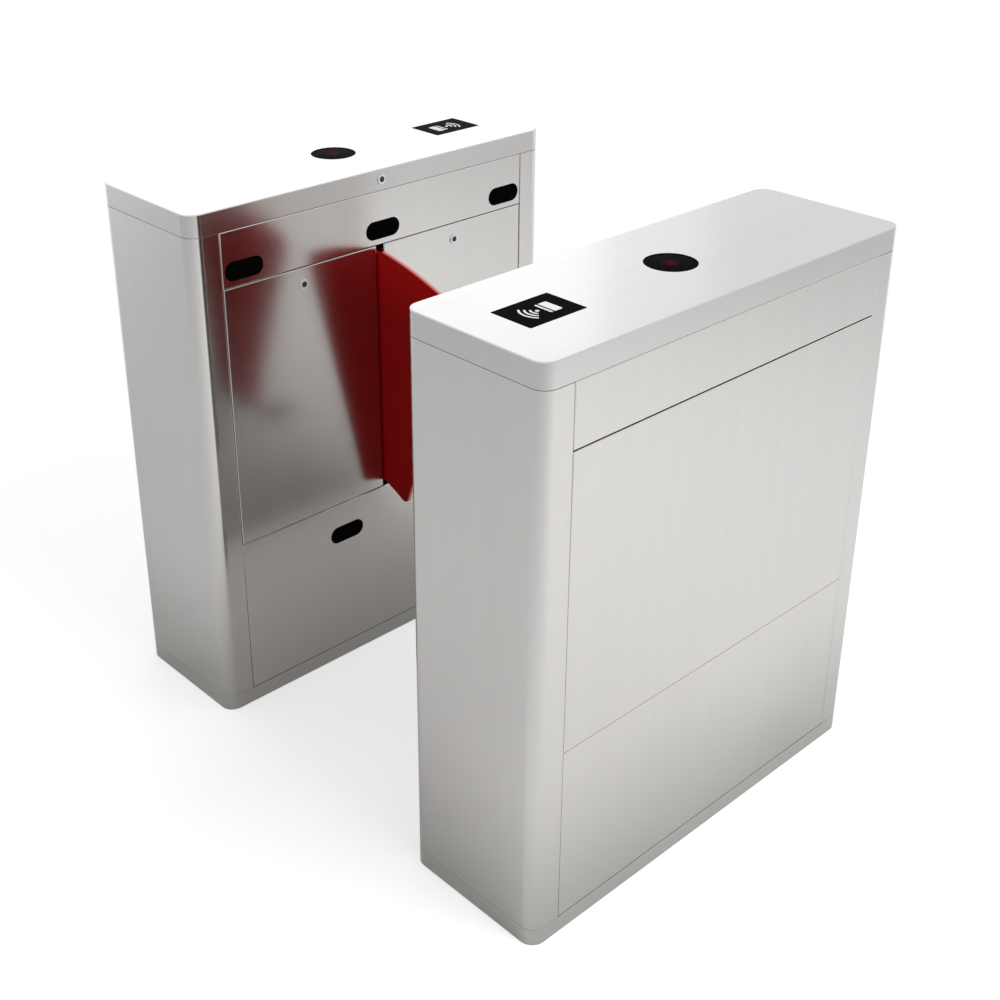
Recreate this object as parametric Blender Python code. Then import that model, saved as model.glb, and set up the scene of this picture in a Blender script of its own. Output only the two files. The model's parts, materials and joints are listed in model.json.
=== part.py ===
"""Flap barrier turnstile: two steel cabinets with a lane between them and a swinging flap in each.

Sizes are in metres, +Z is up, +Y runs along the lane and X runs across it. The origin is on the floor,
in the middle of the pair. The left cabinet is modelled first, and the right one is the same cabinet
turned half a turn about the Z axis.

Inside a cabinet a place is given as (u, y, z): u is how far it lies behind the cabinet's lane face.
"""

import math

import bmesh
import bpy
from mathutils import Matrix, Vector

# Overall sizes
CABINET_LENGTH = 0.812
CABINET_WIDTH = 0.275
CABINET_HEIGHT = 0.980
LANE_WIDTH = 0.530
CORNER_RADIUS = 0.025

# Sheet metal
SHEET = 0.0015
BEND_RADIUS = 0.001
RETURN_DEPTH = 0.0137
LIP_WIDTH = 0.012

# Clearances
SEAT_GAP = 0.0003
SEAM_GAP = 0.0008
DOOR_GAP = 0.002
RUNNING_GAP = 0.0001
OVERRUN = 0.002

# Heights and lengths of the outer panels
PLINTH_HEIGHT = 0.030
LOWER_PANEL_TOP = 0.344
HEAD_HEIGHT = 0.100
LID_HEIGHT = 0.040
END_DEPTH = 0.057
LID_EDGE_RADIUS = 0.0015

# Base tray
BASE_PLATE = 0.003
ANCHOR_HOLE_RADIUS = 0.007
ANCHOR_INSET = 0.045
CABLE_ENTRY_WIDTH = 0.110
CABLE_ENTRY_LENGTH = 0.150
CABLE_ENTRY_CORNER = 0.012

# Flap and the arm that carries it
FLAP_PLANE = -0.008
FLAP_THICKNESS = 0.012
FLAP_EDGE_RADIUS = 0.0025
SLOT_CLEARANCE = 0.003
PIVOT_INSET_SHARE = 4 / 11
PIVOT_HEIGHT = 0.060
FLAP_REACH = 0.222
FLAP_TIP_REACH = 0.064
FLAP_HEEL = 0.0145
FLAP_CORNER_RADIUS = 0.030
FLAP_TIP_RADIUS = 0.010
FLAP_SILL_CLEARANCE = 0.0125
FLAP_TOP_CLEARANCE = 0.0035
FLAP_RELIEF_DROP = 0.007
FLAP_RELIEF_REACH = 0.009
FLAP_TRAVEL = math.radians(18)
ARM_LENGTH = 0.600
ARM_WIDTH = 0.035
CHEEK_THICKNESS = 0.004
CHEEK_OVERLAP = 0.022
CHEEK_START = 0.330
CHEEK_FLAP_MARGIN = 0.0045
HUB_RADIUS = 0.030
HUB_WIDTH = 0.030
SHAFT_RADIUS = 0.0125

# Drive: toothed sector, pinion and geared motor
MODULE_SHARE = 3 / 275
SECTOR_FULL_TEETH = 54
SECTOR_TEETH = 7
SECTOR_LEAD_TEETH = 1.5
PINION_TEETH = 18
PRESSURE_ANGLE = math.radians(20)
BACKLASH = 0.0004
TOOTH_ROOT_SHARE = 1.25
FLANK_STEPS = 3
GEAR_WIDTH = 0.010
SECTOR_HUB_RADIUS = 0.026
MOTOR_INSET_SHARE = 149 / 250
MOTOR_SHAFT_RADIUS = 0.007
MOTOR_SHAFT_REACH = 0.014
GEARBOX_RADIUS = 0.036
GEARBOX_LENGTH = 0.052
MOTOR_RADIUS = 0.030
MOTOR_LENGTH = 0.078
MOTOR_NECK = 0.004
MOTOR_CAP_RADIUS = 0.024
MOTOR_CAP_LENGTH = 0.010

# Mechanism bracket and stop bumper
PLATE_THICKNESS = 0.006
BRACKET_BASE = 0.006
PLATE_SPACE = 0.012
PLATE_TOP = 0.136
PLATE_LANE_REACH = 0.048
PLATE_SHOULDER = 0.040
BRACKET_MARGIN = 0.010
TIE_HEIGHT = 0.014
TIE_THICKNESS = 0.005
BUMPER_RADIUS = 0.010
BUMPER_HEIGHT = 0.110

# Doors, their hinge tabs and locks
TAB_WIDTH = 0.030
TAB_DROP = 0.008
TAB_SETBACK = 0.0005
TAB_INSET = 0.070
TAB_SLOT_DEPTH = 0.0075
LOCK_DROP = 0.030
LOCK_RADIUS = 0.008
LOCK_RIM_RADIUS = 0.0095
LOCK_RIM = 0.0012
LOCK_DEPTH = 0.016
LOCK_KEYWAY_WIDTH = 0.0016
LOCK_KEYWAY_HEIGHT = 0.008
LOCK_KEYWAY_DEPTH = 0.004
CAM_LENGTH = 0.024
CAM_WIDTH = 0.012
CAM_THICKNESS = 0.0025
LID_LOCK_RISE = 0.021
LID_CAM_LENGTH = 0.018
KEEPER_WIDTH = 0.0125
KEEPER_SHEET = 0.0025
KEEPER_DEPTH = 0.016
KEEPER_START = 0.010

# Sensor windows
SENSOR_LENGTH = 0.078
SENSOR_HEIGHT = 0.034
SENSOR_END_INSET = 0.102
SENSOR_RISE = 0.028
LOWER_SENSOR_HEIGHT = 0.279
LOWER_SENSOR_SPACING = 0.220
SENSOR_PROUD = 0.0005
SENSOR_FLANGE = 0.002
SENSOR_FLANGE_MARGIN = 0.0018
SENSOR_BODY_LENGTH = 0.056
SENSOR_BODY_HEIGHT = 0.028
SENSOR_BODY_DEPTH = 0.024

# Reader and indicator in the lid
READER_WIDTH = 0.078
READER_LENGTH = 0.110
READER_END_INSET = 0.128
READER_CORNER = 0.002
WINDOW_FLANGE = 0.0015
WINDOW_FLANGE_MARGIN = 0.006
READER_BODY_DEPTH = 0.020
INDICATOR_RADIUS = 0.041
INDICATOR_CROWN = 0.003
INDICATOR_BODY_RADIUS = 0.034
INDICATOR_BODY_DEPTH = 0.018

# Control box
CONTROL_LENGTH = 0.200
CONTROL_HEIGHT = 0.240
CONTROL_DEPTH = 0.060
CONTROL_END_SPACE = 0.059
CONTROL_HEAD_SPACE = 0.200
CONTROL_EDGE = 0.004
CONTROL_GROOVE = 0.0015
CONTROL_GROOVE_SHARE = 0.3

# Smoothness of round shapes, in steps
CORNER_STEPS = 6
ROUND_STEPS = 32
FLAP_ARC_STEPS = 14
FILLET_STEPS = 5

# Sizes that follow from those above
HALF_LENGTH = CABINET_LENGTH / 2
LID_SEAM = CABINET_HEIGHT - LID_HEIGHT
HEAD_BOTTOM = LID_SEAM - HEAD_HEIGHT
SIDE_SEAM = HALF_LENGTH - END_DEPTH
LIP_START = RETURN_DEPTH + SEAT_GAP
DOOR_BOTTOM = LOWER_PANEL_TOP + DOOR_GAP
DOOR_TOP = HEAD_BOTTOM - DOOR_GAP
SLOT_HALF = FLAP_THICKNESS / 2 + SLOT_CLEARANCE
PIVOT_INSET = CABINET_WIDTH * PIVOT_INSET_SHARE
FLAP_OUTER_RADIUS = HEAD_BOTTOM - PIVOT_HEIGHT - FLAP_TOP_CLEARANCE
FLAP_RELIEF_RADIUS = FLAP_OUTER_RADIUS - FLAP_RELIEF_DROP
FLAP_SILL = LOWER_PANEL_TOP + FLAP_SILL_CLEARANCE
FLAP_INNER_RADIUS = math.hypot(PIVOT_INSET, FLAP_SILL - PIVOT_HEIGHT)
FLAP_HEEL_ANGLE = math.asin((PIVOT_INSET - FLAP_HEEL) / FLAP_OUTER_RADIUS)
MODULE = CABINET_WIDTH * MODULE_SHARE
SECTOR_PITCH_RADIUS = MODULE * SECTOR_FULL_TEETH / 2
PINION_PITCH_RADIUS = MODULE * PINION_TEETH / 2
CENTRE_DISTANCE = SECTOR_PITCH_RADIUS + PINION_PITCH_RADIUS
MOTOR_INSET = PIVOT_INSET + (CABINET_WIDTH - PIVOT_INSET) * MOTOR_INSET_SHARE
MOTOR_DIRECTION = math.acos((PIVOT_INSET - MOTOR_INSET) / CENTRE_DISTANCE)
MOTOR_HEIGHT = PIVOT_HEIGHT + CENTRE_DISTANCE * math.sin(MOTOR_DIRECTION)
HUB_FRONT = FLAP_PLANE - HUB_WIDTH / 2
HUB_BACK = FLAP_PLANE + HUB_WIDTH / 2
GEAR_START = HUB_BACK + SEAT_GAP
GEAR_END = GEAR_START + GEAR_WIDTH
PLATE_FRONT = HUB_FRONT - PLATE_SPACE
PLATE_BACK = GEAR_END + PLATE_SPACE
MOTOR_START = PLATE_BACK + PLATE_THICKNESS + SEAT_GAP
BRACKET_BOTTOM = BASE_PLATE + SEAT_GAP
TIE_TOP = PLATE_TOP - SHEET
RETRACTED_ANGLE = FLAP_TRAVEL - FLAP_HEEL_ANGLE
RETRACTED_REACH = TIE_TOP * math.tan(RETRACTED_ANGLE) + ARM_WIDTH / math.cos(RETRACTED_ANGLE)
TIE_REACH = RETRACTED_REACH + SEAT_GAP + TIE_THICKNESS
PLATE_BACK_REACH = TIE_REACH + SHEET

HALF_TURN = Matrix.Rotation(math.pi, 4, "Z")


# Materials: colour, roughness and metallic value of each finish

FINISHES = {
    "brushed_steel": ((0.60, 0.60, 0.59), 0.28, 1.0),
    "red_polyurethane": ((0.35, 0.008, 0.010), 0.35, 0.0),
    "black_window": ((0.006, 0.006, 0.007), 0.12, 0.0),
    "zinc_steel": ((0.55, 0.56, 0.58), 0.40, 1.0),
    "hard_steel": ((0.45, 0.46, 0.47), 0.32, 1.0),
    "lock_chrome": ((0.72, 0.72, 0.73), 0.15, 1.0),
    "motor_black": ((0.03, 0.03, 0.035), 0.45, 0.3),
    "stop_rubber": ((0.02, 0.02, 0.02), 0.80, 0.0),
    "control_grey": ((0.45, 0.47, 0.50), 0.50, 0.0),
}


def make_finish(name):
    """A Principled material with the colour, roughness and metallic value of one finish."""
    colour, roughness, metallic = FINISHES[name]
    material = bpy.data.materials.new(name)
    material.use_nodes = True
    shader = material.node_tree.nodes["Principled BSDF"]
    shader.inputs["Base Color"].default_value = (*colour, 1.0)
    shader.inputs["Roughness"].default_value = roughness
    shader.inputs["Metallic"].default_value = metallic
    material.diffuse_color = (*colour, 1.0)
    return material


# Places and outlines


def at(u, y, z):
    """The point of the left cabinet that lies u behind its lane face."""
    return Vector((-LANE_WIDTH / 2 - u, y, z))


def around_pivot(radius, angle):
    """(u, z) of a point seen from the flap's pivot. The angle is measured from the lane side, upwards."""
    return PIVOT_INSET - radius * math.cos(angle), PIVOT_HEIGHT + radius * math.sin(angle)


def from_pivot(reach, rise):
    """(u, z) of a point that lies this far towards the lane and this far above the flap's pivot."""
    return PIVOT_INSET - reach, PIVOT_HEIGHT + rise


def arc(centre, radius, start, end, steps):
    """Points of an arc, both ends included."""
    turn = (end - start) / steps
    return [
        (centre[0] + radius * math.cos(start + turn * i), centre[1] + radius * math.sin(start + turn * i))
        for i in range(steps + 1)
    ]


def circle(centre, radius, steps=ROUND_STEPS):
    """Points of a whole circle."""
    return arc(centre, radius, 0, math.tau, steps)[:-1]


def rounded_rectangle(low, high, radius, steps=CORNER_STEPS):
    """Outline of a rectangle with round corners."""
    quarter = math.pi / 2
    corners = (
        (high[0] - radius, high[1] - radius),
        (low[0] + radius, high[1] - radius),
        (low[0] + radius, low[1] + radius),
        (high[0] - radius, low[1] + radius),
    )
    points = []
    for i, corner in enumerate(corners):
        points += arc(corner, radius, i * quarter, (i + 1) * quarter, steps)
    return points


def stadium(centre, length, height, steps=2 * CORNER_STEPS):
    """Outline of a bar with half-round ends, lying along the first axis."""
    radius = height / 2
    offset = length / 2 - radius
    right = arc((centre[0] + offset, centre[1]), radius, -math.pi / 2, math.pi / 2, steps)
    left = arc((centre[0] - offset, centre[1]), radius, math.pi / 2, 3 * math.pi / 2, steps)
    return right + left


def strip(path, thickness):
    """Outline of a folded sheet whose middle line follows the path, with mitred folds."""
    points = [Vector(p) for p in path]
    steps = [(b - a).normalized() for a, b in zip(points, points[1:])]
    before = [steps[0]] + steps
    after = steps + [steps[-1]]
    left, right = [], []
    for point, first, second in zip(points, before, after):
        normal = Vector((-first.y - second.y, first.x + second.x)).normalized()
        side = Vector((-first.y, first.x))
        offset = normal * (thickness / 2 / normal.dot(side))
        left.append(point + offset)
        right.append(point - offset)
    return [tuple(p) for p in left + right[::-1]]


# Solids


def new_object(name, mesh, finish):
    """Adds an object whose mesh faces outwards, at the origin."""
    bmesh.ops.recalc_face_normals(mesh, faces=mesh.faces)
    data = bpy.data.meshes.new(name)
    mesh.to_mesh(data)
    mesh.free()
    data.materials.append(bpy.data.materials[finish])
    obj = bpy.data.objects.new(name, data)
    bpy.context.scene.collection.objects.link(obj)
    return obj


def prism_mesh(outline, plane, low, high):
    """An outline in the plan (u, y), side (u, z) or face (y, z) plane, extruded from low to high."""
    place = {
        "plan": lambda a, b, c: at(a, b, c),
        "side": lambda a, b, c: at(a, c, b),
        "face": lambda a, b, c: at(c, a, b),
    }[plane]
    mesh = bmesh.new()
    bottom = [mesh.verts.new(place(a, b, low)) for a, b in outline]
    top = [mesh.verts.new(place(a, b, high)) for a, b in outline]
    mesh.faces.new(bottom)
    mesh.faces.new(top)
    for i in range(len(outline)):
        j = (i + 1) % len(outline)
        mesh.faces.new((bottom[i], bottom[j], top[j], top[i]))
    return mesh


def prism(name, outline, plane, low, high, finish):
    """An extruded outline as an object."""
    return new_object(name, prism_mesh(outline, plane, low, high), finish)


def rectangle(low, high):
    """Outline of a plain rectangle."""
    return [(low[0], low[1]), (high[0], low[1]), (high[0], high[1]), (low[0], high[1])]


def block(name, u, y, z, finish="brushed_steel"):
    """A block between the pairs of limits u, y and z."""
    return prism(name, rectangle((u[0], y[0]), (u[1], y[1])), "plan", z[0], z[1], finish)


def turned(name, profile, centre, start, finish, steps=ROUND_STEPS):
    """A profile of (radius, distance) pairs turned about an axis along Y through centre, (u, z)."""
    mesh = bmesh.new()
    rings = []
    for radius, distance in profile:
        points = circle(centre, radius, steps)
        rings.append([mesh.verts.new(at(u, start + distance, z)) for u, z in points])
    for first, second in zip(rings, rings[1:]):
        for i in range(steps):
            j = (i + 1) % steps
            mesh.faces.new((first[i], first[j], second[j], second[i]))
    mesh.faces.new(rings[0])
    mesh.faces.new(rings[-1])
    return new_object(name, mesh, finish)


def combine(target, tool, operation):
    """Joins the tool to the target or cuts it away, and then removes the tool."""
    modifier = target.modifiers.new("combine", "BOOLEAN")
    modifier.operation = operation
    modifier.object = tool
    graph = bpy.context.evaluated_depsgraph_get()
    mesh = bpy.data.meshes.new_from_object(target.evaluated_get(graph))
    target.modifiers.clear()
    spent = (target.data, tool.data)
    target.data = mesh
    bpy.data.objects.remove(tool)
    for data in spent:
        bpy.data.meshes.remove(data)


def join(target, tool):
    """Joins the tool to the target."""
    combine(target, tool, "UNION")


def cut(target, tool):
    """Cuts the tool out of the target."""
    combine(target, tool, "DIFFERENCE")


def soften(obj, radius, chosen, steps=2):
    """Rounds the edges for which chosen(edge) is true."""
    mesh = bmesh.new()
    mesh.from_mesh(obj.data)
    edges = [edge for edge in mesh.edges if chosen(edge)]
    bmesh.ops.bevel(mesh, geom=edges, offset=radius, segments=steps, profile=0.5, affect="EDGES")
    mesh.to_mesh(obj.data)
    mesh.free()


def all_at(edge, axis, value):
    """True where both ends of an edge have this coordinate."""
    return all(abs(vert.co[axis] - value) < RUNNING_GAP / 2 for vert in edge.verts)


def smooth(obj, angle=math.radians(35)):
    """Shades the round stretches smooth and keeps the sharper edges."""
    obj.data.shade_smooth()
    obj.data.set_sharp_from_angle(angle=angle)


def put_origin(obj, point):
    """Moves an object's origin to a point, with its shape left in place."""
    obj.data.transform(Matrix.Translation(-point))
    obj.location = point


def pan(name, on_lane_side, y, z):
    """A folded panel: a sheet with a return on each side, open at the back."""
    low, high = (0, RETURN_DEPTH) if on_lane_side else (CABINET_WIDTH - RETURN_DEPTH, CABINET_WIDTH)
    mesh = prism_mesh(rectangle((y[0], z[0]), (y[1], z[1])), "face", low, high)
    lane_x, back_x = at(low, 0, 0).x, at(high, 0, 0).x
    front_x, rear_x = (lane_x, back_x) if on_lane_side else (back_x, lane_x)
    bmesh.ops.recalc_face_normals(mesh, faces=mesh.faces)
    rear = [face for face in mesh.faces if abs(face.calc_center_median().x - rear_x) < SHEET / 2]
    bmesh.ops.inset_region(mesh, faces=rear, thickness=SHEET, use_even_offset=True)
    pushed = bmesh.ops.extrude_face_region(mesh, geom=rear)
    bmesh.ops.delete(mesh, geom=rear, context="FACES")
    moved = [item for item in pushed["geom"] if isinstance(item, bmesh.types.BMVert)]
    depth = math.copysign(RETURN_DEPTH - SHEET, front_x - rear_x)
    bmesh.ops.translate(mesh, verts=moved, vec=Vector((depth, 0, 0)))
    panel = new_object(name, mesh, "brushed_steel")
    soften(panel, BEND_RADIUS, lambda edge: all_at(edge, 0, front_x))
    return panel


# Cabinet shell


def make_base_tray():
    """The plinth: a floor plate with an upturned rim, anchor holes and cable entries."""
    outer = rounded_rectangle((0, -HALF_LENGTH), (CABINET_WIDTH, HALF_LENGTH), CORNER_RADIUS)
    inner = rounded_rectangle(
        (SHEET, SHEET - HALF_LENGTH), (CABINET_WIDTH - SHEET, HALF_LENGTH - SHEET), CORNER_RADIUS - SHEET
    )
    tray = prism("base_tray", outer, "plan", 0, PLINTH_HEIGHT, "brushed_steel")
    cut(tray, prism("pocket", inner, "plan", BASE_PLATE, PLINTH_HEIGHT + OVERRUN, "brushed_steel"))
    for end in (-1, 1):
        middle = end * (HALF_LENGTH + SIDE_SEAM / 2) / 2
        entry = rounded_rectangle(
            ((CABINET_WIDTH - CABLE_ENTRY_WIDTH) / 2, middle - CABLE_ENTRY_LENGTH / 2),
            ((CABINET_WIDTH + CABLE_ENTRY_WIDTH) / 2, middle + CABLE_ENTRY_LENGTH / 2),
            CABLE_ENTRY_CORNER,
        )
        cut(tray, prism("entry", entry, "plan", -OVERRUN, BASE_PLATE + OVERRUN, "brushed_steel"))
        for u in (ANCHOR_INSET, CABINET_WIDTH - ANCHOR_INSET):
            place = (u, end * (HALF_LENGTH - ANCHOR_INSET))
            hole = circle(place, ANCHOR_HOLE_RADIUS, ROUND_STEPS // 2)
            cut(tray, prism("hole", hole, "plan", -OVERRUN, BASE_PLATE + OVERRUN, "brushed_steel"))
    smooth(tray)
    return tray


def make_end_shell(name, end):
    """A folded end with round corners. Its edges turn in, and a lip there carries the panels and doors."""
    half = SHEET / 2
    wall = HALF_LENGTH - half
    seam = SIDE_SEAM + half
    centre = HALF_LENGTH - CORNER_RADIUS
    bend = CORNER_RADIUS - half
    quarter = math.pi / 2
    lip = LIP_START + half
    near_corner = arc((CORNER_RADIUS, centre), bend, math.pi, quarter, CORNER_STEPS)
    far_corner = arc((CABINET_WIDTH - CORNER_RADIUS, centre), bend, quarter, 0, CORNER_STEPS)
    path = [(lip, seam - LIP_WIDTH), (lip, seam), (half, seam)]
    path += near_corner + far_corner
    path += [
        (CABINET_WIDTH - half, seam),
        (CABINET_WIDTH - lip, seam),
        (CABINET_WIDTH - lip, seam - LIP_WIDTH),
    ]
    outline = [(u, end * y) for u, y in strip(path, SHEET)]
    shell = prism(name, outline, "plan", PLINTH_HEIGHT + SEAM_GAP, LID_SEAM, "brushed_steel")
    smooth(shell)
    return shell


def panel_span():
    """The limits along the lane of a panel that fills the space between both end shells."""
    return SEAM_GAP - SIDE_SEAM, SIDE_SEAM - SEAM_GAP


def sensor_outline(y, z, growth=0.0):
    """Outline of a sensor window, larger all round by growth."""
    return stadium((y, z), SENSOR_LENGTH + 2 * growth, SENSOR_HEIGHT + 2 * growth)


def sensor_places(upper):
    """(y, z) of the sensor windows of one row, front to rear."""
    if upper:
        reach = HALF_LENGTH - SENSOR_END_INSET
        return [(y, HEAD_BOTTOM + SENSOR_RISE) for y in (-reach, 0, reach)]
    return [(y, LOWER_SENSOR_HEIGHT) for y in (-LOWER_SENSOR_SPACING / 2, LOWER_SENSOR_SPACING / 2)]


def cut_sensor_windows(panel, places):
    """Cuts the sensor windows through a panel's sheet."""
    for y, z in places:
        outline = sensor_outline(y, z, SEAT_GAP)
        cut(panel, prism("window", outline, "face", -OVERRUN, SHEET + OVERRUN, "brushed_steel"))


def make_inner_head_panel():
    """The strip under the lid on the lane side, with the catch lips of the doors and the lid's keeper."""
    span = panel_span()
    panel = pan("inner_head_panel", True, span, (HEAD_BOTTOM, LID_SEAM))
    cut_sensor_windows(panel, sensor_places(True))
    lip_end = SIDE_SEAM - LIP_WIDTH - SHEET - SEAM_GAP
    slot_edge = SLOT_HALF + RETURN_DEPTH
    for low, high in ((-lip_end, FLAP_PLANE - slot_edge), (FLAP_PLANE + slot_edge, lip_end)):
        shelf = (RETURN_DEPTH - OVERRUN, LIP_START + SHEET)
        join(panel, block("shelf", shelf, (low, high), (HEAD_BOTTOM, HEAD_BOTTOM + SHEET)))
        lip = (LIP_START, LIP_START + SHEET)
        drop = HEAD_BOTTOM - DOOR_GAP - LIP_WIDTH
        join(panel, block("lip", lip, (low, high), (drop, HEAD_BOTTOM + SHEET / 2)))
    post_start = LID_CAM_LENGTH + OVERRUN
    top = LID_SEAM + LID_LOCK_RISE + LOCK_RADIUS + KEEPER_SHEET
    depth = (KEEPER_START, KEEPER_START + KEEPER_DEPTH)
    post_end = post_start + KEEPER_SHEET
    join(panel, block("post", depth, (post_start, post_end), (LID_SEAM - SHEET, top)))
    hook = (post_end - KEEPER_WIDTH, post_end - KEEPER_SHEET / 2)
    join(panel, block("hook", depth, hook, (top - KEEPER_SHEET, top)))
    smooth(panel)
    return panel


def make_inner_lower_panel():
    """The panel under the doors: two sensor windows, and a slot for each hinge tab in its upper return."""
    panel = pan("inner_lower_panel", True, panel_span(), (PLINTH_HEIGHT + SEAM_GAP, LOWER_PANEL_TOP))
    cut_sensor_windows(panel, sensor_places(False))
    for span in door_spans():
        for middle in tab_middles(span):
            width = (middle - TAB_WIDTH / 2 - DOOR_GAP, middle + TAB_WIDTH / 2 + DOOR_GAP)
            depth = (SHEET + TAB_SETBACK / 2, SHEET + TAB_SLOT_DEPTH)
            level = (LOWER_PANEL_TOP - SHEET - OVERRUN, LOWER_PANEL_TOP + OVERRUN)
            cut(panel, block("slot", depth, width, level))
    smooth(panel)
    return panel


def make_outer_panels():
    """The three fixed panels of the outer side. The gap over the large one is the widest."""
    span = panel_span()
    head = pan("outer_head_panel", False, span, (HEAD_BOTTOM, LID_SEAM))
    middle = pan("outer_panel", False, span, (LOWER_PANEL_TOP, HEAD_BOTTOM - DOOR_GAP))
    lower_top = LOWER_PANEL_TOP - SEAM_GAP
    lower = pan("outer_lower_panel", False, span, (PLINTH_HEIGHT + SEAM_GAP, lower_top))
    for panel in (head, middle, lower):
        smooth(panel)
    return [head, middle, lower]


# Doors and locks


def door_spans():
    """The limits along the lane of the front and the rear inner door, either side of the flap's slot."""
    edge = SIDE_SEAM - DOOR_GAP
    return (-edge, FLAP_PLANE - SLOT_HALF), (FLAP_PLANE + SLOT_HALF, edge)


def tab_middles(span):
    """Where along the lane a door's two hinge tabs stand."""
    return span[0] + TAB_INSET, span[1] - TAB_INSET


def make_inner_door(name, span):
    """A door that stands on two hinge tabs at its foot and is locked at its head."""
    door = pan(name, True, span, (DOOR_BOTTOM, DOOR_TOP))
    for middle in tab_middles(span):
        width = (middle - TAB_WIDTH / 2, middle + TAB_WIDTH / 2)
        depth = (SHEET + TAB_SETBACK, 2 * SHEET + TAB_SETBACK)
        level = (LOWER_PANEL_TOP - TAB_DROP, DOOR_BOTTOM + SHEET / 2)
        join(door, block("tab", depth, width, level))
    place = ((span[0] + span[1]) / 2, DOOR_TOP - LOCK_DROP)
    hole = circle(place, LOCK_RADIUS + SEAT_GAP)
    cut(door, prism("hole", hole, "face", -OVERRUN, SHEET + OVERRUN, "brushed_steel"))
    smooth(door)
    put_origin(door, at(0, place[0], DOOR_BOTTOM))
    return door


def make_lock(name, y, z, cam_length):
    """A cam lock: rim, barrel with a keyway, and a cam that hangs down while it is open."""
    barrel_front = -SEAT_GAP - LOCK_RIM / 2
    lock = prism(name, circle((y, z), LOCK_RADIUS), "face", barrel_front, LOCK_DEPTH, "lock_chrome")
    rim = circle((y, z), LOCK_RIM_RADIUS)
    join(lock, prism("rim", rim, "face", -SEAT_GAP - LOCK_RIM, -SEAT_GAP, "lock_chrome"))
    half = CAM_WIDTH / 2
    cam = arc((y, z), half, 0, math.pi, FILLET_STEPS)
    cam += [(y - half, z - cam_length), (y + half, z - cam_length)]
    cam_back = LOCK_DEPTH + CAM_THICKNESS
    join(lock, prism("cam", cam, "face", LOCK_DEPTH - SEAT_GAP, cam_back, "lock_chrome"))
    keyway = rectangle(
        (y - LOCK_KEYWAY_WIDTH / 2, z - LOCK_KEYWAY_HEIGHT / 2),
        (y + LOCK_KEYWAY_WIDTH / 2, z + LOCK_KEYWAY_HEIGHT / 2),
    )
    cut(lock, prism("keyway", keyway, "face", -LOCK_RIM - OVERRUN, LOCK_KEYWAY_DEPTH, "lock_chrome"))
    smooth(lock)
    put_origin(lock, at(0, y, z))
    return lock


def make_doors_and_locks():
    """Both inner doors with their locks."""
    pieces = []
    for place, span in zip(("front", "rear"), door_spans()):
        pieces.append(make_inner_door(f"{place}_inner_door", span))
        middle = (span[0] + span[1]) / 2
        pieces.append(make_lock(f"{place}_door_lock", middle, DOOR_TOP - LOCK_DROP, CAM_LENGTH))
    return pieces


# Lid and what it carries


def reader_middle():
    """Where along the lane the left cabinet's reader lies: at its far end."""
    return HALF_LENGTH - READER_END_INSET


def reader_outline(growth):
    """Outline of the reader window, larger all round by growth."""
    half_width = READER_WIDTH / 2 + growth
    half_length = READER_LENGTH / 2 + growth
    low = (CABINET_WIDTH / 2 - half_width, reader_middle() - half_length)
    high = (CABINET_WIDTH / 2 + half_width, reader_middle() + half_length)
    return rounded_rectangle(low, high, READER_CORNER + growth)


def make_lid():
    """The cap with its skirt, the reader's opening, the indicator's hole and the lock's hole."""
    outer = rounded_rectangle((0, -HALF_LENGTH), (CABINET_WIDTH, HALF_LENGTH), CORNER_RADIUS)
    inner = rounded_rectangle(
        (SHEET, SHEET - HALF_LENGTH), (CABINET_WIDTH - SHEET, HALF_LENGTH - SHEET), CORNER_RADIUS - SHEET
    )
    bottom = LID_SEAM + SEAM_GAP
    lid = prism("lid", outer, "plan", bottom, CABINET_HEIGHT, "brushed_steel")
    soften(lid, LID_EDGE_RADIUS, lambda edge: all_at(edge, 2, CABINET_HEIGHT))
    cut(lid, prism("pocket", inner, "plan", bottom - OVERRUN, CABINET_HEIGHT - SHEET, "brushed_steel"))
    top = (CABINET_HEIGHT - SHEET - OVERRUN, CABINET_HEIGHT + OVERRUN)
    cut(lid, prism("window", reader_outline(SEAT_GAP), "plan", *top, "brushed_steel"))
    middle = (CABINET_WIDTH / 2, 0)
    cut(lid, prism("round", circle(middle, INDICATOR_RADIUS + SEAT_GAP), "plan", *top, "brushed_steel"))
    hole = circle((0, LID_SEAM + LID_LOCK_RISE), LOCK_RADIUS + SEAT_GAP)
    cut(lid, prism("hole", hole, "face", -OVERRUN, SHEET + OVERRUN, "brushed_steel"))
    smooth(lid)
    return lid


def make_reader():
    """The reader's flush window, held by a flange under the lid, and the reader itself below it."""
    under_lid = CABINET_HEIGHT - SHEET - SEAT_GAP
    window_back = under_lid - WINDOW_FLANGE
    window = prism("reader_window", reader_outline(0), "plan", window_back, CABINET_HEIGHT, "black_window")
    flange = reader_outline(WINDOW_FLANGE_MARGIN)
    join(window, prism("flange", flange, "plan", window_back, under_lid, "black_window"))
    module_top = window_back - SEAT_GAP
    module = prism(
        "reader_module",
        reader_outline(WINDOW_FLANGE_MARGIN),
        "plan",
        module_top - READER_BODY_DEPTH,
        module_top,
        "control_grey",
    )
    soften(module, CONTROL_EDGE, lambda edge: all_at(edge, 2, module_top - READER_BODY_DEPTH))
    for piece in (window, module):
        smooth(piece)
    return [window, module]


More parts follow.
